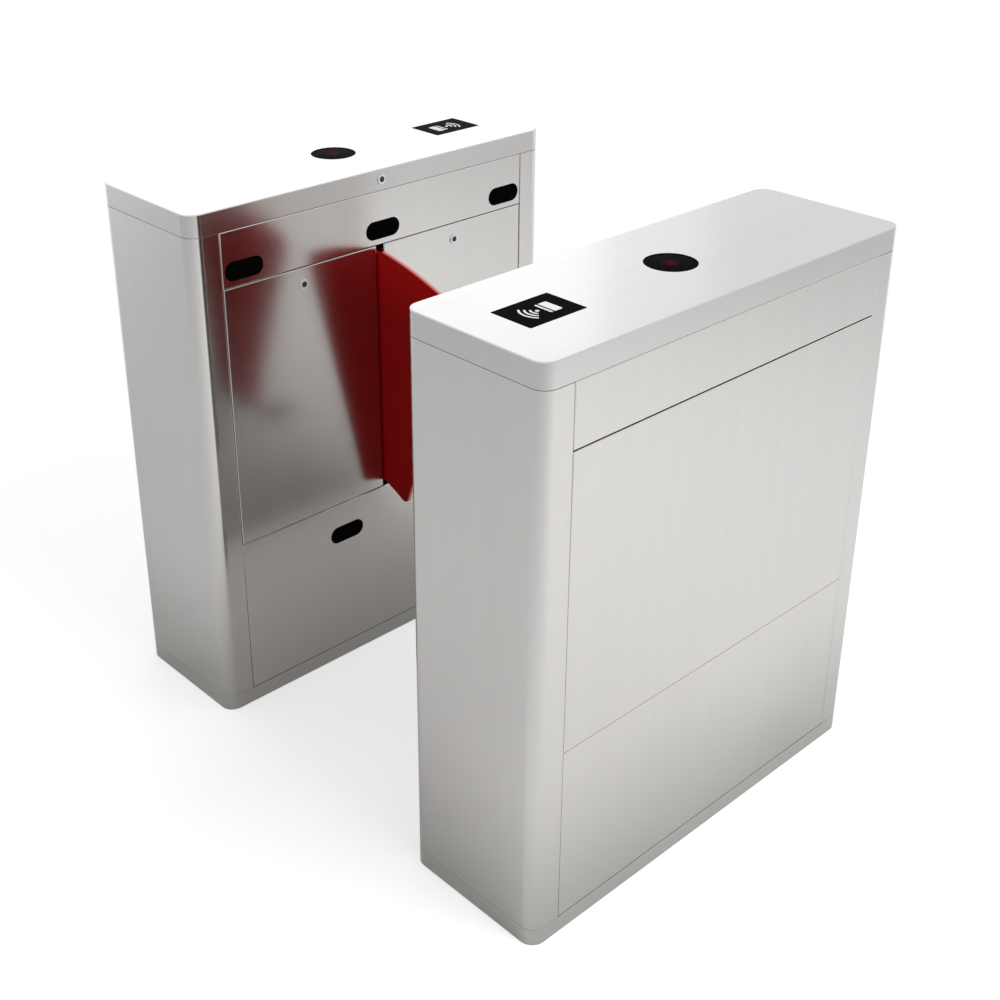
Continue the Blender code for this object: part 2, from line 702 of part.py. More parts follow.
def make_indicator_lamp():
    """The round indicator: a slightly domed lens with a flange under the lid and a lamp housing."""
    under_lid = CABINET_HEIGHT - SHEET - SEAT_GAP
    crown = CABINET_HEIGHT
    flange_radius = INDICATOR_RADIUS + WINDOW_FLANGE_MARGIN
    bottom = under_lid - WINDOW_FLANGE - INDICATOR_BODY_DEPTH
    profile = [
        (INDICATOR_BODY_RADIUS, bottom),
        (INDICATOR_BODY_RADIUS, under_lid - WINDOW_FLANGE),
        (flange_radius, under_lid - WINDOW_FLANGE),
        (flange_radius, under_lid),
        (INDICATOR_RADIUS, under_lid),
        (INDICATOR_RADIUS, crown - LID_EDGE_RADIUS),
    ]
    dome = INDICATOR_RADIUS / CORNER_STEPS
    profile += [
        (INDICATOR_RADIUS - dome * i, crown - LID_EDGE_RADIUS * (1 - i / CORNER_STEPS) ** 2)
        for i in range(1, CORNER_STEPS)
    ]
    mesh = bmesh.new()
    rings = []
    for radius, level in profile:
        points = circle((CABINET_WIDTH / 2, 0), radius)
        rings.append([mesh.verts.new(at(u, y, level)) for u, y in points])
    for first, second in zip(rings, rings[1:]):
        for i in range(ROUND_STEPS):
            j = (i + 1) % ROUND_STEPS
            mesh.faces.new((first[i], first[j], second[j], second[i]))
    mesh.faces.new(rings[0])
    mesh.faces.new(rings[-1])
    lamp = new_object("indicator_lamp", mesh, "black_window")
    smooth(lamp)
    return lamp


# Sensors


def make_sensor(name, y, z):
    """A sensor: window a little proud of the panel, flange behind the sheet, and housing."""
    window = sensor_outline(y, z, -SEAT_GAP / 2)
    back = SHEET + SEAT_GAP
    sensor = prism(name, window, "face", -SENSOR_PROUD, back + SENSOR_FLANGE / 2, "black_window")
    flange = sensor_outline(y, z, SENSOR_FLANGE_MARGIN)
    join(sensor, prism("flange", flange, "face", back, back + SENSOR_FLANGE, "black_window"))
    body = stadium((y, z), SENSOR_BODY_LENGTH, SENSOR_BODY_HEIGHT, CORNER_STEPS)
    join(sensor, prism("body", body, "face", back + SENSOR_FLANGE / 2, SENSOR_BODY_DEPTH, "black_window"))
    smooth(sensor)
    return sensor


def make_sensors():
    """Three sensors in the head panel and two in the lower panel."""
    upper = zip(("front_upper_sensor", "middle_upper_sensor", "rear_upper_sensor"), sensor_places(True))
    lower = zip(("front_lower_sensor", "rear_lower_sensor"), sensor_places(False))
    return [make_sensor(name, *place) for name, place in [*upper, *lower]]


# Flap and swing arm, drawn about the pivot: the first number points to the lane, the second up


def fillet(radius, line_point, direction, inward, ring, outside):
    """Centre of an arc of this radius that touches a straight side and a ring round the pivot."""
    start = line_point + inward * radius
    span = ring + radius if outside else ring - radius
    along = start.dot(direction)
    root = math.sqrt(along * along - start.length_squared + span * span)
    return start + direction * (root - along)


def flap_outline():
    """The flap: a ring sector about the pivot with a straight slanting outer side and a relief at the slot."""
    corner_angle = math.acos((PIVOT_INSET + FLAP_REACH) / FLAP_OUTER_RADIUS)
    tip_angle = math.acos((PIVOT_INSET + FLAP_TIP_REACH) / FLAP_INNER_RADIUS)
    corner = Vector((math.cos(corner_angle), math.sin(corner_angle))) * FLAP_OUTER_RADIUS
    tip = Vector((math.cos(tip_angle), math.sin(tip_angle))) * FLAP_INNER_RADIUS
    up = (corner - tip).normalized()
    inward = Vector((-up.y, up.x))
    top_centre = fillet(FLAP_CORNER_RADIUS, tip, up, inward, FLAP_OUTER_RADIUS, False)
    tip_centre = fillet(FLAP_TIP_RADIUS, tip, up, inward, FLAP_INNER_RADIUS, True)
    top_turn = math.atan2(top_centre.y, top_centre.x)
    tip_turn = math.atan2(tip_centre.y, tip_centre.x)
    side = math.atan2(-inward.y, -inward.x)
    heel = math.pi / 2 - FLAP_HEEL_ANGLE
    relief = math.acos((PIVOT_INSET + FLAP_RELIEF_REACH) / FLAP_OUTER_RADIUS)
    relief_foot = math.acos((PIVOT_INSET + FLAP_RELIEF_REACH) / FLAP_RELIEF_RADIUS)
    points = arc((0, 0), FLAP_INNER_RADIUS, heel, tip_turn, FLAP_ARC_STEPS // 2)
    points += arc(tip_centre, FLAP_TIP_RADIUS, tip_turn - math.pi, side, FILLET_STEPS)[1:]
    points += arc(top_centre, FLAP_CORNER_RADIUS, side, top_turn, FILLET_STEPS)
    points += arc((0, 0), FLAP_OUTER_RADIUS, top_turn, relief, FLAP_ARC_STEPS)[1:]
    points += arc((0, 0), FLAP_RELIEF_RADIUS, relief_foot, heel, FLAP_ARC_STEPS // 2)
    return points


def make_flap_panel():
    """The soft moulded flap, with its edges rounded all along."""
    outline = [from_pivot(*point) for point in flap_outline()]
    front = FLAP_PLANE - FLAP_THICKNESS / 2
    back = FLAP_PLANE + FLAP_THICKNESS / 2
    flap = prism("flap_panel", outline, "side", front, back, "red_polyurethane")
    soften(flap, FLAP_EDGE_RADIUS, lambda edge: all_at(edge, 1, front) or all_at(edge, 1, back))
    smooth(flap)
    put_origin(flap, at(PIVOT_INSET, FLAP_PLANE, PIVOT_HEIGHT))
    return flap


def along_arm(distance, offset):
    """Place about the pivot of a point along the arm, offset to the side away from the flap."""
    along = Vector((math.sin(FLAP_HEEL_ANGLE), math.cos(FLAP_HEEL_ANGLE)))
    side = Vector((-along.y, along.x))
    return along * distance + side * offset


def make_swing_arm():
    """The arm with its hub and shaft, and the cheek that the flap's inner edge is bolted to."""
    front = FLAP_PLANE - FLAP_THICKNESS / 2
    back = FLAP_PLANE + FLAP_THICKNESS / 2
    cheek_front = front - SEAT_GAP - CHEEK_THICKNESS
    bar = [along_arm(0, SEAT_GAP), along_arm(ARM_LENGTH, SEAT_GAP)]
    bar += [along_arm(ARM_LENGTH, ARM_WIDTH), along_arm(0, ARM_WIDTH)]
    outline = [from_pivot(*point) for point in bar]
    arm = prism("swing_arm", outline, "side", cheek_front, back, "zinc_steel")
    limit = PIVOT_INSET - LIP_START - SHEET - CHEEK_FLAP_MARGIN
    foot = along_arm(CHEEK_START, ARM_WIDTH - CHEEK_OVERLAP)
    head = along_arm(ARM_LENGTH - SHEET, ARM_WIDTH - CHEEK_OVERLAP)
    cheek = [foot, Vector((limit, foot.y)), Vector((limit, head.y)), head]
    outline = [from_pivot(*point) for point in cheek]
    join(arm, prism("cheek", outline, "side", cheek_front, front - SEAT_GAP, "zinc_steel"))
    pivot = (PIVOT_INSET, PIVOT_HEIGHT)
    join(arm, prism("hub", circle(pivot, HUB_RADIUS), "side", HUB_FRONT, HUB_BACK, "zinc_steel"))
    shaft_end = PLATE_BACK + PLATE_THICKNESS + OVERRUN
    shaft_start = PLATE_FRONT - PLATE_THICKNESS - OVERRUN
    join(arm, prism("shaft", circle(pivot, SHAFT_RADIUS), "side", shaft_start, shaft_end, "zinc_steel"))
    smooth(arm)
    put_origin(arm, at(PIVOT_INSET, FLAP_PLANE, PIVOT_HEIGHT))
    return arm


# Drive


def involute(base, radius):
    """Polar angle of the involute of a base circle at this radius."""
    turn = math.acos(min(1.0, base / radius))
    return math.tan(turn) - turn


def tooth(teeth, centre):
    """One involute tooth as (radius, angle) pairs, from its right root to its left root."""
    pitch = MODULE * teeth / 2
    base = pitch * math.cos(PRESSURE_ANGLE)
    root = pitch - MODULE * TOOTH_ROOT_SHARE
    tip = pitch + MODULE
    half = math.pi / (2 * teeth) - BACKLASH / (2 * pitch) + involute(base, pitch)
    start = max(base, root)
    radii = [start + (tip - start) * i / FLANK_STEPS for i in range(FLANK_STEPS + 1)]
    flank = [(root, half)] + [(radius, half - involute(base, radius)) for radius in radii]
    if base <= root:
        flank = flank[1:]
    rising = [(radius, centre - angle) for radius, angle in flank]
    falling = [(radius, centre + angle) for radius, angle in reversed(flank)]
    return rising + falling


def make_drive_sector():
    """The toothed sector beside the hub, with a gap in mesh with the pinion while the flap is out."""
    pitch = math.tau / SECTOR_FULL_TEETH
    first = MOTOR_DIRECTION + pitch * (SECTOR_LEAD_TEETH - SECTOR_TEETH + 1)
    points = []
    for i in range(SECTOR_TEETH):
        points += tooth(SECTOR_FULL_TEETH, first + pitch * i)
    quarter = math.pi / 2
    start = first + pitch * (SECTOR_TEETH - 1) + quarter
    end = first - quarter + math.tau
    steps = ROUND_STEPS // 2
    hub = [(SECTOR_HUB_RADIUS, start + (end - start) * i / steps) for i in range(steps + 1)]
    outline = [around_pivot(radius, angle) for radius, angle in points + hub]
    sector = prism("drive_sector", outline, "side", GEAR_START, GEAR_END, "hard_steel")
    bore = circle((PIVOT_INSET, PIVOT_HEIGHT), SHAFT_RADIUS + RUNNING_GAP)
    cut(sector, prism("bore", bore, "side", GEAR_START - OVERRUN, GEAR_END + OVERRUN, "hard_steel"))
    smooth(sector)
    put_origin(sector, at(PIVOT_INSET, FLAP_PLANE, PIVOT_HEIGHT))
    return sector


def make_motor_pinion():
    """The pinion, with the shaft that runs through the bracket into the motor."""
    points = []
    for i in range(PINION_TEETH):
        points += tooth(PINION_TEETH, MOTOR_DIRECTION + math.pi + math.tau * i / PINION_TEETH)
    outline = [
        (MOTOR_INSET - radius * math.cos(angle), MOTOR_HEIGHT + radius * math.sin(angle))
        for radius, angle in points
    ]
    pinion = prism("motor_pinion", outline, "side", GEAR_START, GEAR_END, "hard_steel")
    shaft = circle((MOTOR_INSET, MOTOR_HEIGHT), MOTOR_SHAFT_RADIUS)
    shaft_end = MOTOR_START + MOTOR_SHAFT_REACH
    join(pinion, prism("shaft", shaft, "side", GEAR_START - SEAT_GAP, shaft_end, "hard_steel"))
    smooth(pinion)
    put_origin(pinion, at(MOTOR_INSET, FLAP_PLANE, MOTOR_HEIGHT))
    return pinion


def make_gear_motor():
    """The geared motor: a gearbox, the narrower motor behind it and a cap at its end."""
    motor_end = GEARBOX_LENGTH + MOTOR_LENGTH
    profile = [
        (GEARBOX_RADIUS, 0),
        (GEARBOX_RADIUS, GEARBOX_LENGTH - MOTOR_NECK),
        (MOTOR_RADIUS, GEARBOX_LENGTH),
        (MOTOR_RADIUS, motor_end - MOTOR_NECK),
        (MOTOR_CAP_RADIUS, motor_end),
        (MOTOR_CAP_RADIUS, motor_end + MOTOR_CAP_LENGTH),
    ]
    centre = (MOTOR_INSET, MOTOR_HEIGHT)
    motor = turned("gear_motor", profile, centre, MOTOR_START, "motor_black")
    bore = circle(centre, MOTOR_SHAFT_RADIUS + RUNNING_GAP)
    bore_end = MOTOR_START + MOTOR_SHAFT_REACH + OVERRUN
    cut(motor, prism("bore", bore, "side", MOTOR_START - OVERRUN, bore_end, "motor_black"))
    smooth(motor)
    return motor


def bumper_place():
    """(reach, rise) of the stop bumper: it touches the arm's lane side while the flap is out."""
    along = Vector((math.sin(FLAP_HEEL_ANGLE), math.cos(FLAP_HEEL_ANGLE)))
    side = Vector((along.y, -along.x))
    return along * BUMPER_HEIGHT + side * BUMPER_RADIUS


def plate_outline(with_motor):
    """One bearing plate, seen from the side. The rear one also carries the motor."""
    foot = BRACKET_BOTTOM - PIVOT_HEIGHT
    shoulder = PLATE_SHOULDER - PIVOT_HEIGHT
    points = [(PLATE_LANE_REACH, foot), (PLATE_LANE_REACH, shoulder), (PLATE_LANE_REACH, PLATE_TOP)]
    points += [(-PLATE_BACK_REACH, PLATE_TOP)]
    if with_motor:
        motor = PIVOT_INSET - MOTOR_INSET
        top = MOTOR_HEIGHT - PIVOT_HEIGHT + GEARBOX_RADIUS
        left = motor - GEARBOX_RADIUS
        points += [(-PLATE_BACK_REACH, top), (left, top), (left, foot)]
    else:
        points += [(-PLATE_BACK_REACH, foot)]
    return [from_pivot(*point) for point in points]


def make_mechanism_bracket():
    """Two bearing plates on a base, tied over the arm's retracted stop."""
    front = (PLATE_FRONT - PLATE_THICKNESS, PLATE_FRONT)
    rear = (PLATE_BACK, PLATE_BACK + PLATE_THICKNESS)
    bracket = prism("mechanism_bracket", plate_outline(False), "side", *front, "zinc_steel")
    join(bracket, prism("plate", plate_outline(True), "side", *rear, "zinc_steel"))
    u = (PIVOT_INSET - PLATE_LANE_REACH + SHEET, MOTOR_INSET + GEARBOX_RADIUS - SHEET)
    y = (front[0] - BRACKET_MARGIN, rear[1] + BRACKET_MARGIN)
    z = (BRACKET_BOTTOM, BRACKET_BOTTOM + BRACKET_BASE)
    join(bracket, block("base", u, y, z, "zinc_steel"))
    tie_u = PIVOT_INSET + TIE_REACH
    tie_top = PIVOT_HEIGHT + TIE_TOP
    tie = (tie_u - TIE_THICKNESS, tie_u)
    level = (tie_top - TIE_HEIGHT, tie_top)
    join(bracket, block("tie", tie, (front[0] + SHEET, rear[1] - SHEET), level, "zinc_steel"))
    pivot = (PIVOT_INSET, PIVOT_HEIGHT)
    bores = [(pivot, SHAFT_RADIUS), ((MOTOR_INSET, MOTOR_HEIGHT), MOTOR_SHAFT_RADIUS)]
    bores.append((from_pivot(*bumper_place()), BUMPER_RADIUS / 2))
    for centre, radius in bores:
        bore = circle(centre, radius + RUNNING_GAP)
        limits = (front[0] - OVERRUN, rear[1] + OVERRUN)
        cut(bracket, prism("bore", bore, "side", *limits, "zinc_steel"))
    smooth(bracket)
    return bracket


def make_stop_bumper():
    """The rubber roller that the arm rests on, with a pin at each end in the bearing plates."""
    length = PLATE_BACK - PLATE_FRONT - 2 * SEAT_GAP
    radius = BUMPER_RADIUS - SEAT_GAP
    pin = radius / 2
    start = PLATE_FRONT + SEAT_GAP
    profile = [
        (pin, -PLATE_THICKNESS),
        (pin, 0),
        (radius, 0),
        (radius, length),
        (pin, length),
        (pin, length + PLATE_THICKNESS),
    ]
    centre = from_pivot(*bumper_place())
    bumper = turned("stop_bumper", profile, centre, start, "stop_rubber", ROUND_STEPS // 2)
    smooth(bumper)
    return bumper


def make_control_box():
    """The case with the controller and the power supply, on the outer panel, with a lid line round it."""
    outer = CABINET_WIDTH - SHEET - SEAT_GAP
    u = (outer - CONTROL_DEPTH, outer)
    end = SIDE_SEAM - CONTROL_END_SPACE
    top = HEAD_BOTTOM - CONTROL_HEAD_SPACE
    y = (end - CONTROL_LENGTH, end)
    z = (top - CONTROL_HEIGHT, top)
    box = block("control_box", u, y, z, "control_grey")
    lane_x = at(u[0], 0, 0).x
    soften(box, CONTROL_EDGE, lambda edge: all_at(edge, 0, lane_x))
    line = u[0] + CONTROL_DEPTH * CONTROL_GROOVE_SHARE
    groove = (line, line + CONTROL_GROOVE)
    around = block(
        "around", groove, (y[0] - OVERRUN, y[1] + OVERRUN), (z[0] - OVERRUN, z[1] + OVERRUN), "control_grey"
    )
    core = block(
        "core",
        (groove[0] - OVERRUN, groove[1] + OVERRUN),
        (y[0] + CONTROL_GROOVE, y[1] - CONTROL_GROOVE),
        (z[0] + CONTROL_GROOVE, z[1] - CONTROL_GROOVE),
        "control_grey",
    )
    cut(around, core)
    cut(box, around)
    smooth(box)
    return box


# The pair


def make_cabinet():
    """Every piece of the left cabinet."""
    pieces = [make_base_tray(), make_end_shell("near_end_shell", -1), make_end_shell("far_end_shell", 1)]
    pieces += [make_inner_head_panel(), make_inner_lower_panel(), *make_outer_panels()]
    pieces += make_doors_and_locks()
    for piece in (make_lid(), *make_reader(), make_indicator_lamp()):
        put_origin(piece, at(CABINET_WIDTH, 0, LID_SEAM + SEAM_GAP))
        pieces.append(piece)
    pieces.append(make_lock("lid_lock", 0, LID_SEAM + LID_LOCK_RISE, LID_CAM_LENGTH))
    pieces += make_sensors()
    pieces += [make_flap_panel(), make_swing_arm(), make_drive_sector(), make_motor_pinion()]
    pieces += [make_gear_motor(), make_mechanism_bracket(), make_stop_bumper(), make_control_box()]
    return pieces


def turn_copy(left):
    """The right cabinet's copy of a piece, half a turn about the Z axis away."""
    right = left.copy()
    right.name = left.name.replace("left_", "right_", 1)
    bpy.context.scene.collection.objects.link(right)
    right.matrix_world = HALF_TURN @ left.matrix_basis
    return right


def main():
    """Clears the scene and builds both cabinets."""
    for obj in list(bpy.data.objects):
        bpy.data.objects.remove(obj, do_unlink=True)
    for name in FINISHES:
        make_finish(name)
    for piece in make_cabinet():
        piece.name = "left_" + piece.name
        turn_copy(piece)
    bpy.context.view_layer.update()


main()
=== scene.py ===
"""The looks of a flap barrier turnstile: two steel cabinets, their red flaps, drives, lids and windows.

Each sub-assembly of the left cabinet is a class. The right cabinet is the same one turned half a turn
about the Z axis, so every finished piece is fitted twice.
"""

from __future__ import annotations

import json
import logging
import math
from collections.abc import Callable, Iterator, Sequence
from contextlib import contextmanager
from dataclasses import dataclass, field
from enum import Enum

import bmesh
import bpy
from mathutils import Matrix, Vector

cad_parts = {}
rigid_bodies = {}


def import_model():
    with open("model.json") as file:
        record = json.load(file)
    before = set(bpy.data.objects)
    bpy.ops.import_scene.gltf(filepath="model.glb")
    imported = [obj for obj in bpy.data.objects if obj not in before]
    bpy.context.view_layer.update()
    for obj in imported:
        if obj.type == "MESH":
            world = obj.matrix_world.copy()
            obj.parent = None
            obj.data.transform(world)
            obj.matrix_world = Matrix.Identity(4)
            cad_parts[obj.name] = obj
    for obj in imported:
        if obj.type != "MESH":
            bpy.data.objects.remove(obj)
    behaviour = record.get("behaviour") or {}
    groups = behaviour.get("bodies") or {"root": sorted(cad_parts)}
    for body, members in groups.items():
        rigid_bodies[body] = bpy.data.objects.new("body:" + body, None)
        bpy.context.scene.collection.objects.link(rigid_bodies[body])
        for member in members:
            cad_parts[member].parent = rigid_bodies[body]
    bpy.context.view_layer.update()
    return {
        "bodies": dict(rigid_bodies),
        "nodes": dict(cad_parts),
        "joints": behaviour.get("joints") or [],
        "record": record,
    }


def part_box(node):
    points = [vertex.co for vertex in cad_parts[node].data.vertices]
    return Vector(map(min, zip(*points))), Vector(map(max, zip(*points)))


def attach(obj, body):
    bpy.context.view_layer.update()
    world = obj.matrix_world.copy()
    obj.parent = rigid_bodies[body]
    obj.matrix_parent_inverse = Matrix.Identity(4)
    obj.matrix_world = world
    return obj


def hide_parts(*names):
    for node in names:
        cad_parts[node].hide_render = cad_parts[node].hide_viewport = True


LOG = logging.getLogger("turnstile")
HALF_TURN = Matrix.Rotation(math.pi, 4, "Z")
IMAGE_SIDE = 1000
MM = 0.001
NEARLY = 0.99
STRAIGHT = 0.999
ON_PLANE = 0.05 * MM
WHITE = (1.0, 1.0, 1.0, 1.0)
VECTOR = "NodeSocketVector"
NUMBER = "NodeSocketFloat"

Colour = tuple[float, float, float]
Span = tuple[float, float]
Place = tuple[float, float]
Piece = bpy.types.Object
Socket = bpy.types.NodeSocket
FaceTest = Callable[[bmesh.types.BMFace], bool]
EdgeTest = Callable[[bmesh.types.BMEdge], bool]


# Plan of the cabinet


@dataclass(frozen=True)
class Plan:
    """The cabinet's main lines, in metres. Depth u is measured from the lane face into the cabinet."""

    lane: float = 0.530
    width: float = 0.275
    length: float = 0.812
    height: float = 0.980
    corner: float = 0.025
    sheet: float = 0.0015
    plinth: float = 0.030
    lower_top: float = 0.344
    head_bottom: float = 0.840
    lid_seam: float = 0.940
    end_depth: float = 0.057
    seam_gap: float = 0.0008
    door_gap: float = 0.002
    door_seam: float = 0.0012
    upright_seam: float = 0.0005
    plinth_seam: float = 0.0003
    seat_gap: float = 0.0003
    pan_depth: float = 0.0137
    lip: float = 0.012
    flap_plane: float = -0.008
    flap_slot_half: float = 0.009
    pivot_inset: float = 0.100
    pivot_height: float = 0.060
    sensor: Place = (0.078, 0.034)
    reader: Place = (0.078, 0.110)
    reader_inset: float = 0.128
    reader_corner: float = 0.002
    lamp_radius: float = 0.041
    door_lock_drop: float = 0.030
    lid_lock_rise: float = 0.021

    @property
    def half(self) -> float:
        """Half the cabinet's length."""
        return self.length / 2

    @property
    def seam(self) -> float:
        """Distance from the middle to the seam of an end shell."""
        return self.half - self.end_depth

    @property
    def reader_middle(self) -> float:
        """The place of the reader's middle along the lane."""
        return self.half - self.reader_inset

    @property
    def door_lock_height(self) -> float:
        """The height of the door locks."""
        return self.head_bottom - self.door_gap - self.door_lock_drop

    @property
    def lid_lock_height(self) -> float:
        """The height of the lid lock."""
        return self.lid_seam + self.lid_lock_rise

    def x(self, u: float) -> float:
        """The X coordinate of the left cabinet at depth u."""
        return -self.lane / 2 - u

    def at(self, u: float, y: float, z: float) -> Vector:
        """The point of the left cabinet at depth u, y along the lane and height z."""
        return Vector((self.x(u), y, z))


PLAN = Plan()

# The middle (y, z) of each sensor window, and the doors' limits along the lane.
SENSORS = {
    "front_upper_sensor": (-0.304, 0.868),
    "middle_upper_sensor": (0.0, 0.868),
    "rear_upper_sensor": (0.304, 0.868),
    "front_lower_sensor": (-0.110, 0.279),
    "rear_lower_sensor": (0.110, 0.279),
}
DOOR_SPANS = {"front": (-0.347, -0.017), "rear": (0.001, 0.347)}
TO_LANE = Vector((1, 0, 0))
TO_BACK = Vector((-1, 0, 0))
TO_NEAR = Vector((0, -1, 0))
UP = Vector((0, 0, 1))
DOWN = Vector((0, 0, -1))


# Shader groups and finishes


class NodeBench:
    """Places and links the nodes of one material, world or node group."""

    def __init__(self, tree: bpy.types.NodeTree) -> None:
        """Starts on an existing node tree."""
        self.tree = tree

    def feed(self, node: bpy.types.Node, inputs: dict) -> None:
        """Links sockets to a node's inputs and sets plain values there.

        Args:
            node: The node.
            inputs: Values or output sockets, by the input's name or number.
        """
        for name, value in inputs.items():
            if isinstance(value, Socket):
                self.tree.links.new(value, node.inputs[name])
            else:
                node.inputs[name].default_value = value

    def add(self, kind: str, inputs: dict | None = None, **settings: object) -> bpy.types.Node:
        """Adds a node.

        Args:
            kind: The node's type name.
            inputs: Values or output sockets for its inputs, by socket name or number.
            settings: Attributes of the node itself.

        Returns:
            The new node.
        """
        node = self.tree.nodes.new(kind)
        for name, value in settings.items():
            setattr(node, name, value)
        self.feed(node, inputs or {})
        return node

    def group(self, name: str, inputs: dict) -> bpy.types.NodeOutputs:
        """Places a node group and gives what it puts out."""
        return self.add("ShaderNodeGroup", inputs, node_tree=bpy.data.node_groups[name]).outputs

    def coordinates(self) -> Socket:
        """The piece's own coordinates."""
        return self.add("ShaderNodeTexCoord").outputs["Object"]

    def split(self, vector: Socket) -> bpy.types.NodeOutputs:
        """The parts X, Y and Z of a vector."""
        return self.add("ShaderNodeSeparateXYZ", {0: vector}).outputs

    def noise(self, where: Socket, scale: Socket | float, **more: float) -> Socket:
        """Cloudy noise, with more of the node's inputs by their names."""
        return self.add("ShaderNodeTexNoise", {"Vector": where, "Scale": scale, **more}).outputs["Fac"]

    def maths(self, operation: str, *values: Socket | float) -> Socket:
        """The result of one sum on numbers."""
        return self.add("ShaderNodeMath", dict(enumerate(values)), operation=operation).outputs[0]

    def vectors(self, operation: str, *values: Socket | Sequence[float]) -> bpy.types.NodeOutputs:
        """The results of one sum on vectors."""
        return self.add("ShaderNodeVectorMath", dict(enumerate(values)), operation=operation).outputs

    def ease(self, value: Socket, start: float, end: float, curve: str = "LINEAR") -> Socket:
        """0 to 1 while a value goes from start to end."""
        inputs = {"Value": value, "From Min": start, "From Max": end}
        return self.add("ShaderNodeMapRange", inputs, interpolation_type=curve).outputs["Result"]

    def spread(self, value: Socket, low: float, high: float) -> Socket:
        """Maps a mask from 0..1 to low..high."""
        inputs = {"Value": value, "To Min": low, "To Max": high}
        return self.add("ShaderNodeMapRange", inputs).outputs["Result"]

    def mix(self, factor: Socket, first: Socket, second: Colour) -> Socket:
        """Turns one colour into another by a mask."""
        inputs = {"Factor": factor, "A": first, "B": (*second, 1.0)}
        return self.add("ShaderNodeMix", inputs, data_type="RGBA").outputs["Result"]

    def ramp(self, factor: Socket, low: tuple[float, Colour], high: tuple[float, Colour]) -> Socket:
        """Turns a mask into a colour.

        Args:
            factor: The mask, from 0 to 1.
            low: The place on the mask where the first colour ends, and that colour.
            high: The place where the second colour begins, and that colour.

        Returns:
            The colour socket.
        """
        node = self.add("ShaderNodeValToRGB", {"Fac": factor})
        for element, (place, colour) in zip(node.color_ramp.elements, (low, high)):
            element.position = place
            element.color = (*colour, 1.0)
        return node.outputs["Color"]

    def tones(self, factor: Socket, dark: Colour, light: Colour) -> Socket:
        """Goes from a dark to a light tone over the middle of a mask."""
        return self.ramp(factor, (0.3, dark), (0.7, light))

    def mixed_shaders(self, factor: Socket, first: Socket, second: Socket) -> Socket:
        """Goes from one shader to another by a mask."""
        return self.add("ShaderNodeMixShader", {0: factor, 1: first, 2: second}).outputs[0]


def new_group(name: str, inputs: dict[str, str], outputs: Sequence[str]) -> tuple[NodeBench, dict]:
    """Starts a shader node group with named sockets.

    Args:
        name: The group's name.
        inputs: Socket types by input name.
        outputs: The names of its outputs, which are numbers.

    Returns:
        A bench on the group's tree, and the sockets that its inputs give inside.
    """
    tree = bpy.data.node_groups.new(name, "ShaderNodeTree")
    for socket, kind in inputs.items():
        tree.interface.new_socket(name=socket, in_out="INPUT", socket_type=kind)
    for socket in outputs:
        tree.interface.new_socket(name=socket, in_out="OUTPUT", socket_type=NUMBER)
    bench = NodeBench(tree)
    entry = bench.add("NodeGroupInput")
    return bench, {socket: entry.outputs[socket] for socket in inputs}


def build_grain_group() -> None:
    """Long fine lines, as a belt leaves them, and the broader bands that they lie in."""
    bench, given = new_group("belt_grain", {"Vector": VECTOR, "Stretch": VECTOR}, ("Height", "Band"))
    band_share = 0.035
    fine = bench.vectors("MULTIPLY", given["Vector"], given["Stretch"])[0]
    broad = bench.vectors("MULTIPLY", fine, (band_share,) * 3)[0]
    lines = bench.noise(fine, 1.0, Detail=3.0, Roughness=0.6)
    bands = bench.noise(broad, 1.0, Detail=4.0, Roughness=0.65)
    bench.add("NodeGroupOutput", {"Height": lines, "Band": bands})


def build_handling_group() -> None:
    """Soft cloudy marks from wiping and touching."""
    bench, given = new_group("handling_marks", {"Vector": VECTOR, "Scale": NUMBER}, ("Mask",))
    cloud = bench.noise(given["Vector"], given["Scale"], Detail=5.0, Roughness=0.6, Distortion=0.4)
    bench.add("NodeGroupOutput", {"Mask": bench.ease(cloud, 0.35, 0.7)})


def build_painted_shade_group() -> None:
    """Painted shade: a darkening that is strongest at the plinth and thins out upwards, in place of the
    shaded floor that the steel mirrors near its base.
    """
    bench, given = new_group("painted_floor_shade", {"Vector": VECTOR, "Reach": NUMBER}, ("Darkening",))
    unevenness = 0.10
    # The painted shade is made a little uneven by noise before it fades out with height.
    cloud = bench.noise(given["Vector"], 3.0, Detail=3.0)
    raised = bench.maths("MULTIPLY_ADD", cloud, unevenness, bench.split(given["Vector"])["Z"])
    inputs = {"Value": raised, "From Max": given["Reach"], "To Min": 1.0, "To Max": 0.0}
    darkening = bench.add("ShaderNodeMapRange", inputs, interpolation_type="SMOOTHSTEP")
    bench.add("NodeGroupOutput", {"Darkening": darkening.outputs["Result"]})


def build_speckle_group() -> None:
    """The fine even texture of a mould, a casting or rubber."""
    bench, given = new_group("mould_speckle", {"Vector": VECTOR, "Scale": NUMBER}, ("Height",))
    grit = bench.noise(given["Vector"], given["Scale"], Detail=6.0, Roughness=0.7)
    bench.add("NodeGroupOutput", {"Height": grit})


def build_spangle_group() -> None:
    """The small crystals of a zinc coat."""
    bench, given = new_group("zinc_spangle", {"Vector": VECTOR, "Scale": NUMBER}, ("Height",))
    cells = bench.add("ShaderNodeTexVoronoi", given)
    shade = bench.add("ShaderNodeSeparateColor", {"Color": cells.outputs["Color"]})
    bench.add("NodeGroupOutput", {"Height": shade.outputs[0]})


class Pattern(Enum):
    """The kinds of fine surface that the finishes use. Those without grain hold their group's name."""

    UPRIGHT_GRAIN = "upright_grain"
    LENGTHWISE_GRAIN = "lengthwise_grain"
    SPECKLE = "mould_speckle"
    SPANGLE = "zinc_spangle"


